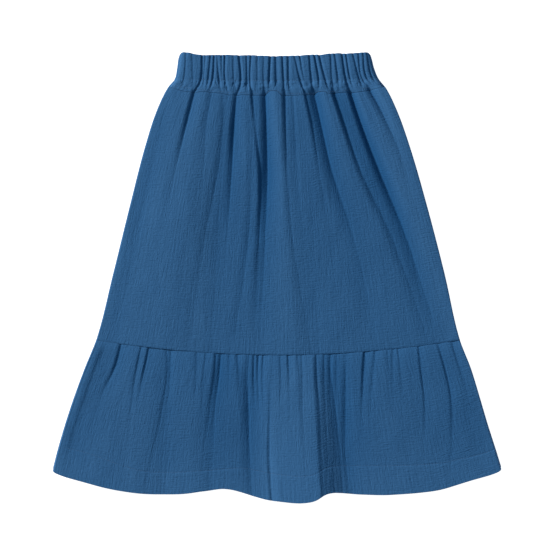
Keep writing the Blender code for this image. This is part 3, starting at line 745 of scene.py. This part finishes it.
# Place at the five stations, depth at the same five, width of the falling side and of the
# rising side
FLOUNCE_STATIONS = (0, 0.15, 0.4, 0.7, 1)
FLOUNCE_GATHERS = (
    (-184, -190, -208, -221, -232, 2.4, 2.8, 0.3, 0, 0, 4, 8),
    (-160.5, -165.5, -172, -178, -186, 1.3, 1.4, 0.6, 0.1, 0, 2.2, 4),
    (-151.5, -156.5, -164.5, -170, -176, 2.2, 2, 0.3, 0, 0, 2.8, 8),
    (-131, -129.5, -135.5, -146, -158, 1, 1.1, 1, 0.4, 0, 2.8, 5),
    (-126, -126.5, -130, -138, -146, 1.3, 1, 0.2, 0, 0, 2.5, 4),
    (-95, -96, -98, -101, -104, 1, 0.7, 0.2, 0, 0, 3.6, 5),
    (-84.5, -87, -89, -91, -92, 0.9, 0.8, 0.4, 0.1, 0, 3.2, 5),
    (-73, -74.5, -80, -86, -90, 2, 2.2, 1.2, 0.6, 0.2, 5, 9),
    (-67, -69, -74, -76, -78, 2.8, 3.4, 1.8, 0.8, 0.4, 7, 14),
    (-57.5, -58, -59, -60, -61, 1, 0.5, 0, 0, 0, 3, 4),
    (-48, -46, -44, -43, -43, 1.8, 1, 0.1, 0, 0, 4, 5),
    (-34, -36, -34.8, -33.4, -30.5, 1.2, 2.4, 3.6, 2.6, 1.2, 9, 10),
    (-28.5, -28.8, -27, -26, -25, 1.8, 1.8, 0.3, 0, 0, 3, 4),
    (-23.5, -24, -22, -20, -18, 2.6, 1.8, 0.2, 0, 0, 3, 4),
    (-17.5, -18.5, -17, -15, -13, 2, 1.2, 0.1, 0, 0, 2.5, 5),
    (-6, -8.5, -10, -10.5, -7.5, 0.2, 0.3, 0.9, 2, 2.2, 2.6, 3),
    (2, 3, 3, 4, 5, 1.1, 0.8, 0.1, 0, 0, 3, 4),
    (11.5, 12.5, 13, 15, 16, 2, 1, 0, 0, 0, 3, 4),
    (22.5, 24, 25, 26, 27, 0.9, 0.5, 0, 0, 0, 2.5, 4),
    (27.5, 28, 28.5, 31, 32, 1, 1.5, 1.2, 0.4, 0.2, 4, 8),
    (44.5, 45, 48.5, 50.5, 53, 2, 2.6, 1.4, 1, 1, 4, 12),
    (60, 62, 67, 72, 76, 1.4, 2.4, 2.8, 2.4, 2.2, 13, 24),
    (54, 53.5, 55, 57.5, 58, 1.2, 1.4, 0.6, 0.4, 0.3, 4, 6),
    (61.5, 60.5, 62, 66, 66, 1.4, 1.2, 0.3, 0.6, 0.4, 4, 6),
    (68.5, 68, 68, 73, 75, 0.8, 1.2, 0.3, 0.2, 0.2, 4, 6),
    (79.5, 79, 78.5, 78.5, 83, 0.8, 1.4, 2, 1.4, 0.5, 5, 4),
    (101, 99.5, 98, 96, 94, 3, 2.8, 0.8, 0, 0, 3, 7),
    (113.5, 111, 108, 107, 106, 1.8, 1.4, 0.4, 0, 0, 4, 6),
    (128, 129, 131, 133, 134, 0.8, 0.4, 0, 0, 0, 3, 4),
    (134, 133.5, 135, 137, 139, 1.5, 0.8, 0, 0, 0, 2.8, 5),
    (140, 142.5, 145, 147, 149, 1.2, 0.8, 0.1, 0, 0, 2.4, 5),
    (164, 166.6, 171.4, 170, 168, 1.6, 1.8, 1.2, 0.1, 0, 2.4, 5),
    (186.5, 193.8, 202.3, 203, 200, 1.5, 1.9, 1.7, 0.6, 0, 2.8, 4.5),
    (203, 210, 222, 233, 242, 1.5, 0.9, 0.2, 0, 0, 3, 5),
)
GATHER_PRESS = 0.74
GATHER_WIDENING = 0.8
GATHER_SLIDE = 1.9
FLOUNCE_CUT = (560, 168)
FLOUNCE_LENGTH = 160
print(len(FLOUNCE_GATHERS), "gathers in the front flounce")


# %% The hem's stitch line
HEM_DEPTH = 30
HEM_THICKER, HEM_STEP = 0.11, 1.2
STITCH_GROOVE, GROOVE_WIDTH = 0.24, 0.8
LENGTH_ABOVE_HEM = 125

# Place across the hem, distance of its stitch line from the edge
HEM_STITCH = (
    (-262, 31), (-246, 31.6), (-215, 33), (-154, 26), (-103, 25.4),
    (-61, 23.5), (-35, 30), (20, 31.5), (60, 31), (110, 33.8),
    (177, 31), (233, 25.5), (262, 25))


def hem_depth(x):
    """Distance of the hem's stitch line from its edge at some places."""
    return curve_through(*zip(*HEM_STITCH), x)


def hem_relief(above):
    """The turned hem: a little thicker below its stitch line, with a groove along it."""
    thicker = HEM_THICKER * (1 - np.tanh((above + 1) / HEM_STEP))
    return thicker - STITCH_GROOVE * bell(above, GROOVE_WIDTH)


# Distances from the hem of the rows that run along it, closer at its stitch line
HEM_ROWS = (33.1, 31.7, 30.9, 30.4, 30, 29.6, 29.1, 28.3, 26.9, 23.2, 19.6, 16, 12.4, 8.8,
            *reversed(EDGE_STEPS), 0)


def share_above_hem(across, part):
    """Share down the flounce at some parts of the hem's depth above the edge.

    It takes a few rounds, because the places across change a little with the share.
    """
    down = 1 - part * HEM_DEPTH / FLOUNCE_LENGTH
    for _ in range(4):
        x, _, _, _, length = plan(across, down, FLOUNCE_SEAM, HEM)
        down = 1 - part * hem_depth(x) / length
    return down


def rows_to_hem(across, step):
    """Shares down the flounce: even rows above, then rows that follow the hem."""
    upper = spaced(LENGTH_ABOVE_HEM, step, EDGE_STEPS, (step,))[:-1, None]
    lower = share_above_hem(across[None, :], np.array(HEM_ROWS)[:, None] / HEM_DEPTH)
    return np.concatenate((upper * lower[:1], lower))


print("hem at the middle:", round(float(hem_depth(0)), 1), "mm deep")

# %% Surface of the front flounce
HEM_CRINKLE = 0.5
HEM_START = 3
FLOUNCE_WELT = (1.3, 0.2)
WELT_FADE = 0.6
WELT_TOP, WELT_END, WELT_LAST = 0.06, 0.95, 0.22


def flounce_surface(across, down):
    """X, drop, height, fold shade and cut coordinates of the front flounce."""
    x, drop, left, right, length = plan(across, down, FLOUNCE_SEAM, HEM)
    u = 0.5 * FLOUNCE_CUT[0] * across
    v = FLOUNCE_CUT[1] * down
    lowest = front_floor(x, left, right)
    relief = GATHER_PRESS * creases(FLOUNCE_GATHERS, FLOUNCE_STATIONS, x, down,
                                    GATHER_WIDENING, GATHER_SLIDE)
    relief = relief - swells(FLOUNCE_SWELLS, x, down)
    crown = height_at(FLOUNCE_HEIGHT, down) - lowest
    height = lowest + crown * crown_share(x, left, right) - relief
    quiet = quiet_sides(x, left, right)
    above = (1 - down) * length - hem_depth(x)
    in_hem = 0.5 - 0.5 * np.tanh(above / HEM_START)
    height += quiet * (1 + HEM_CRINKLE * in_hem) * CRINKLE_HEIGHT * crinkle(u, v, seed=31)
    height += quiet * SLACK_HEIGHT * slack(x, drop, seed=41)
    welt = (1 - WELT_FADE * down) * np.clip((WELT_END - down) / WELT_LAST, 0, 1)
    welt = welt * np.clip(down / WELT_TOP, 0, 1)
    height += welt * side_welt(x, left, right, *FLOUNCE_WELT)
    height += hem_relief(above)
    height -= seam_dip(down * length, FLOUNCE_TOP_DIP)
    return x, drop, soft_floor(height, lowest), relief, u, v


FLOUNCE_SHADE = ((0, 0.32), (0.6, 0.32), (0.8, 0.22), (0.86, 0.1), (1, 0))
flounce_columns = spaced(475, 0.62)
flounce_rows = rows_to_hem(2 * flounce_columns - 1, 3.7)
front_flounce = front_sheet("front_ruffle", flounce_surface, FLOUNCE_SHADE, flounce_rows,
                            flounce_columns)
front_flounce.data.materials.append(body_gauze)
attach(front_flounce, "root")
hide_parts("front_flounce")

# %% [markdown]
# ## The back panel and the back flounce
# The back is gathered too, but it lies under the skirt, so its gathers are pressed nearly
# flat on the table. They show on its underside as shallow grooves with the crinkle between
# them. Nothing may reach below the table's height.

# %% Gathers pressed into the back
BACK_WALL = 0.9
BACK_CRINKLE = 0.13
BACK_SEAM_RISE, BACK_SEAM_REACH = 0.5, 2
BACK_HEM_GROOVE, BACK_HEM_WIDTH = 0.3, 0.9
LINE_SHARE, LINE_HALF = 0.6, 1.3
HOLLOW_SHARE, HOLLOW_HALF = 0.4, 4

# Place at the top and at the bottom of the piece, depth at its top, share of the length
# that the groove runs for
BACK_PANEL_GROOVES = (
    (-112, -176, 0.7, 0.6), (-91, -141, 0.8, 0.8), (-68, -110, 0.8, 0.5), (-45, -76, 0.8, 0.9),
    (-22, -34, 0.7, 0.6), (19, 30, 0.8, 0.7), (40, 66, 0.8, 0.9), (61, 98, 0.7, 0.5),
    (83, 134, 0.8, 0.8), (107, 172, 0.7, 0.6),
)
BACK_FLOUNCE_GROOVES = (
    (-188, -216, 0.7, 0.5), (-171, -197, 0.8, 0.7), (-150, -172, 0.7, 0.4), (-134, -155, 0.8, 0.8),
    (-113, -128, 0.7, 0.5), (-96, -110, 0.8, 0.6), (-78, -88, 0.8, 0.9), (-59, -66, 0.7, 0.5),
    (-41, -47, 0.8, 0.7), (-21, -24, 0.7, 0.5), (19, 22, 0.7, 0.6), (38, 44, 0.8, 0.8),
    (58, 66, 0.7, 0.5), (75, 86, 0.8, 0.7), (95, 108, 0.8, 0.5), (114, 130, 0.7, 0.9),
    (133, 152, 0.8, 0.6), (152, 174, 0.7, 0.4), (172, 198, 0.8, 0.7), (190, 218, 0.7, 0.5),
)


def grooves(table, x, down):
    """Height of the pressed underside over its grooves: narrow lines in soft hollows."""
    height = np.zeros(np.broadcast(x, down).shape)
    for x_top, x_bottom, depth, reach in table:
        away = np.abs(x - (x_top + (x_bottom - x_top) * down))
        fade = np.clip(1 - down / reach, 0, 1)
        line = LINE_SHARE * bell(away, LINE_HALF, 1.4)
        height += depth * fade * (line + HOLLOW_SHARE * bell(away, HOLLOW_HALF))
    return height


def back_sheet(name, table, lines, cut, rows, columns, seed, hemmed):
    """Closed sheet of cloth pressed flat on the table."""
    across, down = sheet_grid(rows[:, None], columns)
    x, drop, _, _, length = plan(across, down, *lines)
    u = 0.5 * cut[0] * across
    v = cut[1] * down
    relief = grooves(table, x, down)
    under = relief + BACK_CRINKLE * (1 + crinkle(u, v, seed)).clip(0, 2)
    if hemmed:
        drop = drop - BACK_HEM_SHORTER * down
        under += BACK_HEM_GROOVE * bell((1 - down) * length - HEM_DEPTH, BACK_HEM_WIDTH)
    under += BACK_SEAM_RISE * bell(down * length, BACK_SEAM_REACH, 1.5)
    thick = BACK_WALL * edge_round(from_edges(x, drop)[1], 0.5 * BACK_WALL)
    middle = under + 0.5 * BACK_WALL
    y = ORIGIN_DROP - drop
    upper = np.stack((x, y, middle + 0.5 * thick), -1)
    lower = np.stack((x, y, middle - 0.5 * thick), -1)
    # Painted shade: the grooves' depth is painted into the cloth as darker colour.
    return cloth_wall(name, upper, lower, u, v, np.clip(relief, 0, 1))


back_body = back_sheet("back_body", BACK_PANEL_GROOVES, (CASING_SEAM, FLOUNCE_SEAM), PANEL_CUT,
                       spaced(305, 5), spaced(345, 1.05), 51, hemmed=False)
back_flounce = back_sheet("back_ruffle", BACK_FLOUNCE_GROOVES, (FLOUNCE_SEAM, HEM), FLOUNCE_CUT,
                          spaced(160, 4.5), spaced(475, 1.2), 61, hemmed=True)
for piece, node, flat in ((back_body, "back_panel", (0.43, 0.312)),
                          (back_flounce, "back_flounce", (0.56, 0.168))):
    piece.data.materials.append(body_gauze)
    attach(piece, "root")
    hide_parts(node)

# %% [markdown]
# ## The casing over the elastic
# The casing is a folded strip with the elastic run through its upper part. The elastic
# pulls it up into narrow gathers, which are pinched at the channel's stitch line and again
# at the seam below. The strip between the two is drawn into small uneven puckers. It is all
# one flattened loop, so it is built round: the front, a rounded end, the back, the other end.

# %% Gathers of the casing
BAND_STATIONS = (0, 0.72, 1)

# Place at the waist edge, at the channel stitch and at the seam, depth at the same three,
# half width
BAND_CREASES = (
    (-108, -110.5, -115, 1.2, 1.2, 0.3, 1.6), (-101, -100, -101.5, 0.8, 0.9, 0.2, 1.6),
    (-89, -91.5, -98.5, 2.6, 2.8, 3, 1.5), (-85.4, -87.6, -88.5, 1.4, 1.2, 0.3, 1.2),
    (-79, -82.5, -85, 1.6, 1.8, 0.6, 1.5), (-75, -77.5, -81.5, 2.4, 2.6, 1.4, 1.4),
    (-72, -69, -66.5, 0.8, 2.4, 1.8, 1.5), (-66.5, -65.6, -63, 1.8, 0.6, 0.2, 1.2),
    (-62.6, -62, -58, 2.2, 1.8, 2.6, 1.4), (-53, -52, -52, 1.1, 1.1, 0.6, 1.8),
    (-46, -44.5, -48.5, 3.2, 3.1, 2.6, 1.5), (-37, -37, -38.5, 1.6, 2.1, 0.5, 1.5),
    (-32, -32.8, -30, 1.8, 2.3, 2.8, 1.6), (-24.5, -24.5, -24, 1.2, 1, 0.3, 1.6),
    (-17, -17, -15.8, 0.8, 1.3, 3.3, 1.7), (-9.6, -10.8, -10.4, 3.3, 3.2, 0.3, 1.5),
    (-2.9, -2.3, -1.7, 2, 2.2, 0.7, 2.2), (4.7, 6.4, 7.3, 2.4, 2.7, 2.8, 1.5),
    (11.7, 12.3, 14.5, 2, 2.4, 1, 1.8), (19, 27, 32.5, 1.2, 2.8, 3, 1.6),
    (25, 31.5, 36.5, 2.1, 0.3, 0, 1.2), (36.3, 39.3, 42.3, 2.4, 2.4, 2.6, 1.6),
    (42.2, 47.4, 47.6, 2.6, 2.6, 0.6, 1.5), (47.6, 56, 61, 2.8, 2.6, 1, 1.6),
    (61.4, 63.2, 66, 1.4, 1.6, 2.6, 1.6), (66, 70.2, 71, 1.8, 2, 0.8, 1.8),
    (74.3, 80, 85.5, 2.8, 3.2, 3.4, 1.6), (79, 84.8, 90, 2.4, 2.1, 0.3, 1.4),
    (87.2, 95.4, 100.6, 1.6, 2.4, 1.3, 1.6), (93.6, 99.2, 110.5, 1.6, 2.4, 2.6, 1.5),
    (99, 104.2, 115, 1.5, 2.2, 0.2, 1.4), (103.4, 110.2, 119.6, 2.2, 2.2, 0.2, 1.4),
)
BAND_HEIGHT = ((0, 8), (0.35, 8.6), (0.72, 7.8), (0.86, 8.9), (1, 9))
BAND_SHOULDER = 9
BAND_END = 2.7
BAND_SLIT = 0.25
BAND_WALL = 2.4
BAND_BACK_SHARE = 0.42
BAND_FLOOR_ROOM = 0.9
BAND_RIM = 0.2
BAND_FOLD_FULL = 9
CASING_CUT = (680, 47)
GATHERED = 0.62
JOIN_START = 0.7
BAND_FALL = 1.35
BAND_RISE = 2.2
BAND_PRESS = 0.78
CHANNEL_PINCH, PINCH_WIDTH = 0.5, 1.5
WAIST_WAVE = 0.16

# Height of the puckers, distance over which they start and how far they stand up, size of
# the swells and of the slits between them, width and depth of the slits
STRIP_PUCKER = 0.5
STRIP_START, SWELL_LIFT = 1.8, 0.4
SWELL_SIZE, SLIT_SIZE = (5.2, 2.4), (4.6, 5.5)
SLIT_WIDTH, SLIT_DEPTH = 0.14, 1.5
BAND_SLITS = [row[:6] + (BAND_FALL * row[6], BAND_RISE * row[6]) for row in BAND_CREASES]
print(len(BAND_CREASES), "gathers in the casing's front")


# %% Surface of the casing
def channel_pinch(drop, across):
    """How far the cloth sinks along the channel's stitch line."""
    away = drop - level_drop(CHANNEL_LINE, across)
    return CHANNEL_PINCH * bell(np.abs(away), PINCH_WIDTH, 1.5)


def strip_puckers(x, drop, across, seed):
    """Small uneven puckers in the strip between the channel's stitch line and the seam."""
    below = drop - level_drop(CHANNEL_LINE, across)
    start = 0.5 * soft_noise(x / 6, 0, seed + 2)
    inside = np.clip(below / STRIP_START + start, 0, 1)
    swell = soft_noise(x / SWELL_SIZE[0], drop / SWELL_SIZE[1], seed)
    slit = soft_noise(x / SLIT_SIZE[0], drop / SLIT_SIZE[1], seed + 1)
    return inside * (swell + SWELL_LIFT - SLIT_DEPTH * bell(slit, SLIT_WIDTH))


def band_front(x, down, drop, across, left, right, u, v):
    """Height of the casing's front, and the depth of its gathers."""
    lowest = 2 * BAND_END
    relief = BAND_PRESS * creases(BAND_SLITS, BAND_STATIONS, x, down)
    crown = height_at(BAND_HEIGHT, down) - lowest
    fade = shoulder(x, left, right, 0.5 * BAND_SHOULDER)
    height = lowest + crown * shoulder(x, left, right, BAND_SHOULDER)
    height -= fade * (relief + channel_pinch(drop, across))
    height += fade * STRIP_PUCKER * strip_puckers(x, drop, across, seed=91)
    height += fade * CRINKLE_HEIGHT * crinkle(GATHERED * u, v, seed=71)
    seam_left, seam_right = side_edges(CASING_SEAM["edge"])
    at_seam = (2 * x[-1:, :] - seam_left - seam_right) / (seam_right - seam_left)
    at_seam = np.clip(at_seam, -1, 1)
    panel = panel_surface(at_seam, np.zeros_like(at_seam))
    join = fade * np.clip((down - JOIN_START) / (1 - JOIN_START), 0, 1) ** 2
    height = height + join * (panel[2] - height)
    relief = relief + join * (panel[3] - relief)
    return soft_floor(height, lowest - BAND_FLOOR_ROOM * fade), relief * fade


def band_back(x, down, drop, across, left, right, u, v):
    """Height of the casing's underside, with the back's gathers pressed shallow."""
    relief = creases(BAND_SLITS, BAND_STATIONS, left + right - x, down)
    fade = shoulder(x, left, right, BAND_SHOULDER)
    height = BAND_BACK_SHARE * relief + channel_pinch(drop, across)
    uneven = (1 + crinkle(GATHERED * u, v, seed=81)).clip(0, 2)
    height = fade * (height + 0.08 * uneven - 0.2)
    return np.maximum(0, height), relief * fade


def casing_loop(name, rows, front_columns, end_steps):
    """The flattened loop of the casing, as one closed wall."""
    count = len(front_columns)
    down = rows[:, None]
    left, right = side_edges(down * CASING_SEAM["edge"])
    centre, half = 0.5 * (left + right), 0.5 * (right - left)
    flat_left, flat_right = left + BAND_END, right - BAND_END
    turn = np.linspace(0.5 * np.pi, -0.5 * np.pi, end_steps + 2)[1:-1][None, :]
    x_front = flat_left + front_columns[None, :] * (flat_right - flat_left)
    x_back = x_front[:, ::-1]
    around = np.concatenate((
        np.linspace(0, 0.49, count), np.linspace(0.49, 0.5, end_steps + 2)[1:-1],
        np.linspace(0.5, 0.99, count), np.linspace(0.99, 1, end_steps + 2)[1:-1], [1]))
    u = np.broadcast_to(CASING_CUT[0] * around[None, :], (len(rows), len(around)))
    v = np.broadcast_to(CASING_CUT[1] * down, u.shape)

    def drop_at(x):
        across = np.clip((x - centre) / half, -1, 1)
        top, bottom = casing_edges(x, across, x[-1:, :])
        top = top + corner_rise(across, WAIST_CORNER)
        return top + down * (bottom - top), across

    drop, across = drop_at(x_front)
    z, relief = band_front(x_front, down, drop, across, flat_left, flat_right,
                           u[:, :count], v[:, :count])
    drop = drop + WAIST_WAVE * relief * (1 - down) ** 3
    inner = np.maximum(BAND_END + BAND_SLIT, z - BAND_WALL)
    parts = [(x_front, drop, x_front, z, inner, relief)]
    for side, x_end in ((1, flat_right), (-1, flat_left)):
        if side < 0:
            drop, across = drop_at(x_back)
            z, relief = band_back(x_back, down, drop, across, flat_left, flat_right,
                                  u[:, count + end_steps:2 * count + end_steps], v[:, :count])
            inner = np.full_like(z, BAND_END - BAND_SLIT)
            parts.append((x_back, drop, x_back, z, inner, 0.6 * relief))
        angle = turn if side > 0 else turn[:, ::-1]
        flat = np.zeros(np.broadcast(x_end, angle).shape)
        x_out, x_in = (x_end + side * r * np.cos(angle) for r in (BAND_END, BAND_SLIT))
        z_out, z_in = (BAND_END + r * np.sin(angle) + flat for r in (BAND_END, BAND_SLIT))
        parts.append((x_out, drop_at(x_out)[0], x_in, z_out, z_in, flat))
    x_out, drop_out, x_in, z_out, z_in, relief = (
        np.concatenate(columns, axis=1) for columns in zip(*parts))
    ends = np.minimum(drop_out - drop_out[:1, :], drop_out[-1:, :] - drop_out)
    full = edge_round(ends, 0.5)[..., None]
    y = ORIGIN_DROP - drop_out + SEAM_GAP * down
    outer = np.stack((x_out, y, z_out), -1)
    inner = np.stack((x_in, y, z_in), -1)
    rim = outer + BAND_RIM * (inner - outer)
    outer = rim + (outer - rim) * full
    inner = rim + (inner - rim) * full
    # Painted shade: the gathers' depth is painted into the cloth as darker colour, weaker on the
    # back.
    painted_fold_shade = np.clip(relief / BAND_FOLD_FULL, 0, 1)
    return cloth_wall(name, outer, inner, u, v, painted_fold_shade, loop=True)


casing_rows = spaced(46, 1.1)
casing_columns = spaced(228, 0.5, (0.3, 0.7), (0.3, 0.7))
casing = casing_loop("casing", casing_rows, casing_columns, end_steps=11)
casing.data.materials.append(casing_gauze)
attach(casing, "root")
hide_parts("waistband")

# %% [markdown]
# ## Stitches
# Three rows of machine stitching show: along the channel, the casing's seam and the hem. One
# stitch is modelled: a short cylinder whose ends are drawn in and turned down, where the
# thread dips into the cloth. It is copied along each row, and lies on the cloth there.

# %% Model one stitch
STITCH_LENGTH = 2.5
STITCH_STEP = 3
STITCH_LIFT = 0.05
THREAD_RADIUS = 0.16

# Thickness and dip of a stitch's ends, in thread radii, and stretch of its middle
END_THICKNESS, END_DIP, MIDDLE_STRETCH = 0.55, 0.9, 1.9


def model_stitch():
    """Points and faces of one stitch along X, 1 long, in thread radii across."""
    bpy.ops.object.select_all(action="DESELECT")
    bpy.ops.mesh.primitive_cylinder_add(vertices=6, radius=1, depth=1,
                                        end_fill_type="NGON", rotation=(0, math.pi / 2, 0))
    stitch = bpy.context.active_object
    bpy.ops.object.transform_apply(location=True, rotation=True, scale=True)
    bpy.ops.object.mode_set(mode="EDIT")
    bpy.ops.mesh.select_all(action="DESELECT")
    bpy.ops.mesh.select_mode(type="EDGE")
    bpy.ops.object.mode_set(mode="OBJECT")
    for edge in stitch.data.edges:
        a, b = (stitch.data.vertices[i].co for i in edge.vertices)
        edge.select = abs(a.x - b.x) > 0.5
    bpy.ops.object.mode_set(mode="EDIT")
    bpy.ops.mesh.subdivide(number_cuts=2)
    bpy.ops.object.mode_set(mode="OBJECT")
    for vertex in stitch.data.vertices:
        if abs(vertex.co.x) > 0.4:
            vertex.co.y *= END_THICKNESS
            vertex.co.z = END_THICKNESS * vertex.co.z - END_DIP
        else:
            vertex.co.x *= MIDDLE_STRETCH
    points = np.array([vertex.co[:] for vertex in stitch.data.vertices])
    faces = [list(polygon.vertices) for polygon in stitch.data.polygons]
    bpy.data.objects.remove(stitch, do_unlink=True)
    return points, faces


stitch_points, stitch_faces = model_stitch()
print("one stitch has", len(stitch_points), "points and", len(stitch_faces), "faces")


# %% Copy it along a row
def stitch_row(name, paths):
    """One mesh of stitches along some paths, each an array of points in millimetres."""
    points, faces = [], []
    for path in paths:
        steps = np.linalg.norm(np.diff(path, axis=0), axis=1)
        along = np.concatenate(([0], np.cumsum(steps)))
        for start in np.arange(1, along[-1] - STITCH_LENGTH, STITCH_STEP):
            a, b = (np.array([np.interp(place, along, path[:, c]) for c in range(3)])
                    for place in (start, start + STITCH_LENGTH))
            forward = (b - a) / np.linalg.norm(b - a)
            side = np.cross((0, 0, 1), forward)
            side /= np.linalg.norm(side)
            up = np.cross(forward, side)
            base = len(points) * len(stitch_points)
            local = stitch_points * (STITCH_LENGTH, THREAD_RADIUS, THREAD_RADIUS)
            points.append(0.5 * (a + b) + local[:, :1] * forward + local[:, 1:2] * side
                          + local[:, 2:] * up)
            faces.extend([[base + i for i in face] for face in stitch_faces])
    mesh = bpy.data.meshes.new(name)
    mesh.from_pydata(np.concatenate(points) * MM, [], faces)
    mesh.shade_smooth()
    mesh.materials.append(blue_thread)
    print(name, "has", len(points), "stitches")
    return new_piece(name, mesh)


# %% Lay the rows on the cloth
HEM_REACH = 0.985
BAND_REACH = 0.97


def hem_path():
    """Points along the hem's stitch line on the front flounce."""
    across = np.linspace(-HEM_REACH, HEM_REACH, 900)[None, :]
    x, drop, z = flounce_surface(across, share_above_hem(across, 1))[:3]
    return np.stack((x[0], ORIGIN_DROP - drop[0], z[0] + STITCH_LIFT), -1)


def band_path(line):
    """Points along a level line on the casing's front."""
    across = np.linspace(-BAND_REACH, BAND_REACH, 700)[None, :]
    left, right = side_edges(line["edge"])
    x = 0.5 * (left + right) + across * 0.5 * (right - left)
    top, bottom = casing_edges(x, across, x)
    down = np.clip((level_drop(line, across) - top) / (bottom - top), 0, 0.985)
    left, right = side_edges(down * CASING_SEAM["edge"])
    x = 0.5 * (left + right) + across * 0.5 * (right - left)
    drop = top + down * (bottom - top)
    around = (x - left) / (right - left)
    z, _ = band_front(x, down, drop, across, left + BAND_END, right - BAND_END,
                      CASING_CUT[0] * 0.49 * around, CASING_CUT[1] * down)
    return np.stack((x[0], ORIGIN_DROP - drop[0], z[0] + STITCH_LIFT), -1)


SEAM_STITCH_LINE = {"edge": 39.6, "sag": 9.8, "power": 2}
hem_stitches = stitch_row("hem_stitches", [hem_path()])
casing_stitches = stitch_row("casing_stitches", [band_path(CHANNEL_LINE),
                                                 band_path(SEAM_STITCH_LINE)])
for piece, slot_name in ((hem_stitches, "double_gauze"), (casing_stitches, "casing_gauze")):
    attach(piece, "root")

# %% [markdown]
# ## Floor, light and camera
# The skirt is shown straight from above on a white ground. The floor glows, so hardly any
# shadow darkens it. One broad soft box, low and far off at the upper left, gives each fold a
# lit and a shaded side, and a faint blue sky and a small fill soften the shade. The camera
# is far away with a long lens, which keeps the outline as flat as a pattern.

# %% Floor
FLOOR_HALF = 6
FLOOR_GLOW = 0.97


def make_floor():
    """Wide white floor just under the skirt."""
    bpy.ops.object.select_all(action="DESELECT")
    bpy.ops.mesh.primitive_grid_add(x_subdivisions=8, y_subdivisions=8, size=2 * FLOOR_HALF,
                                    location=(0, 0, -0.0002))
    floor = bpy.context.active_object
    floor.name = "floor"
    bpy.ops.object.transform_apply(location=True, rotation=True, scale=True)
    floor.data.materials.append(Nodes("pale floor").surface({
        "Base Color": (0.5, 0.5, 0.5, 1), "Roughness": 0.95, "Specular IOR Level": 0.1,
        "Emission Color": (1, 1, 1, 1), "Emission Strength": FLOOR_GLOW}))
    return floor


floor = make_floor()
print("floor is", 2 * FLOOR_HALF, "m wide")

# %% Light
SKY_STRENGTH = 0.24


def soft_box(name, place, size, power, colour):
    """Square area light at a place, turned towards the skirt."""
    bpy.ops.object.light_add(type="AREA", location=place)
    lamp = bpy.context.active_object
    lamp.name = name
    lamp.data.size = size
    lamp.data.energy = power
    lamp.data.color = colour
    away = math.hypot(place[0], place[1])
    lamp.rotation_euler = (math.atan2(away, place[2]), 0,
                           math.atan2(-place[1], -place[0]) - 0.5 * math.pi)
    lamp.visible_camera = False
    return lamp


world = bpy.data.worlds.new("pale sky")
world.use_nodes = True
sky = world.node_tree.nodes["Background"].inputs
sky["Color"].default_value = (0.38, 0.78, 1, 1)
sky["Strength"].default_value = SKY_STRENGTH
bpy.context.scene.world = world
key = soft_box("key", (-9.9, 4.4, 5.1), 3.4, 2650, (1, 0.92, 0.855))
fill = soft_box("fill", (1.5, -0.3, 2.6), 1.6, 10, (0.9, 0.96, 1))
print("lights:", key.name, fill.name)

# %% Camera
FRAME_WIDTH = 0.6458
CAMERA_HEIGHT = 3
FOCUS_HEIGHT = 0.008
LOOK_AT = (-0.0012, 0.0018)
SENSOR = 36


def make_camera():
    """Camera straight above the skirt, with a long lens."""
    bpy.ops.object.camera_add(location=(LOOK_AT[0], LOOK_AT[1], CAMERA_HEIGHT),
                              rotation=(0, 0, 0))
    camera = bpy.context.active_object
    camera.data.sensor_width = SENSOR
    camera.data.lens = SENSOR * (CAMERA_HEIGHT - FOCUS_HEIGHT) / FRAME_WIDTH
    bpy.context.scene.camera = camera
    return camera


camera = make_camera()
bpy.context.scene.view_settings.view_transform = "Standard"
print("lens:", round(camera.data.lens, 1), "mm")
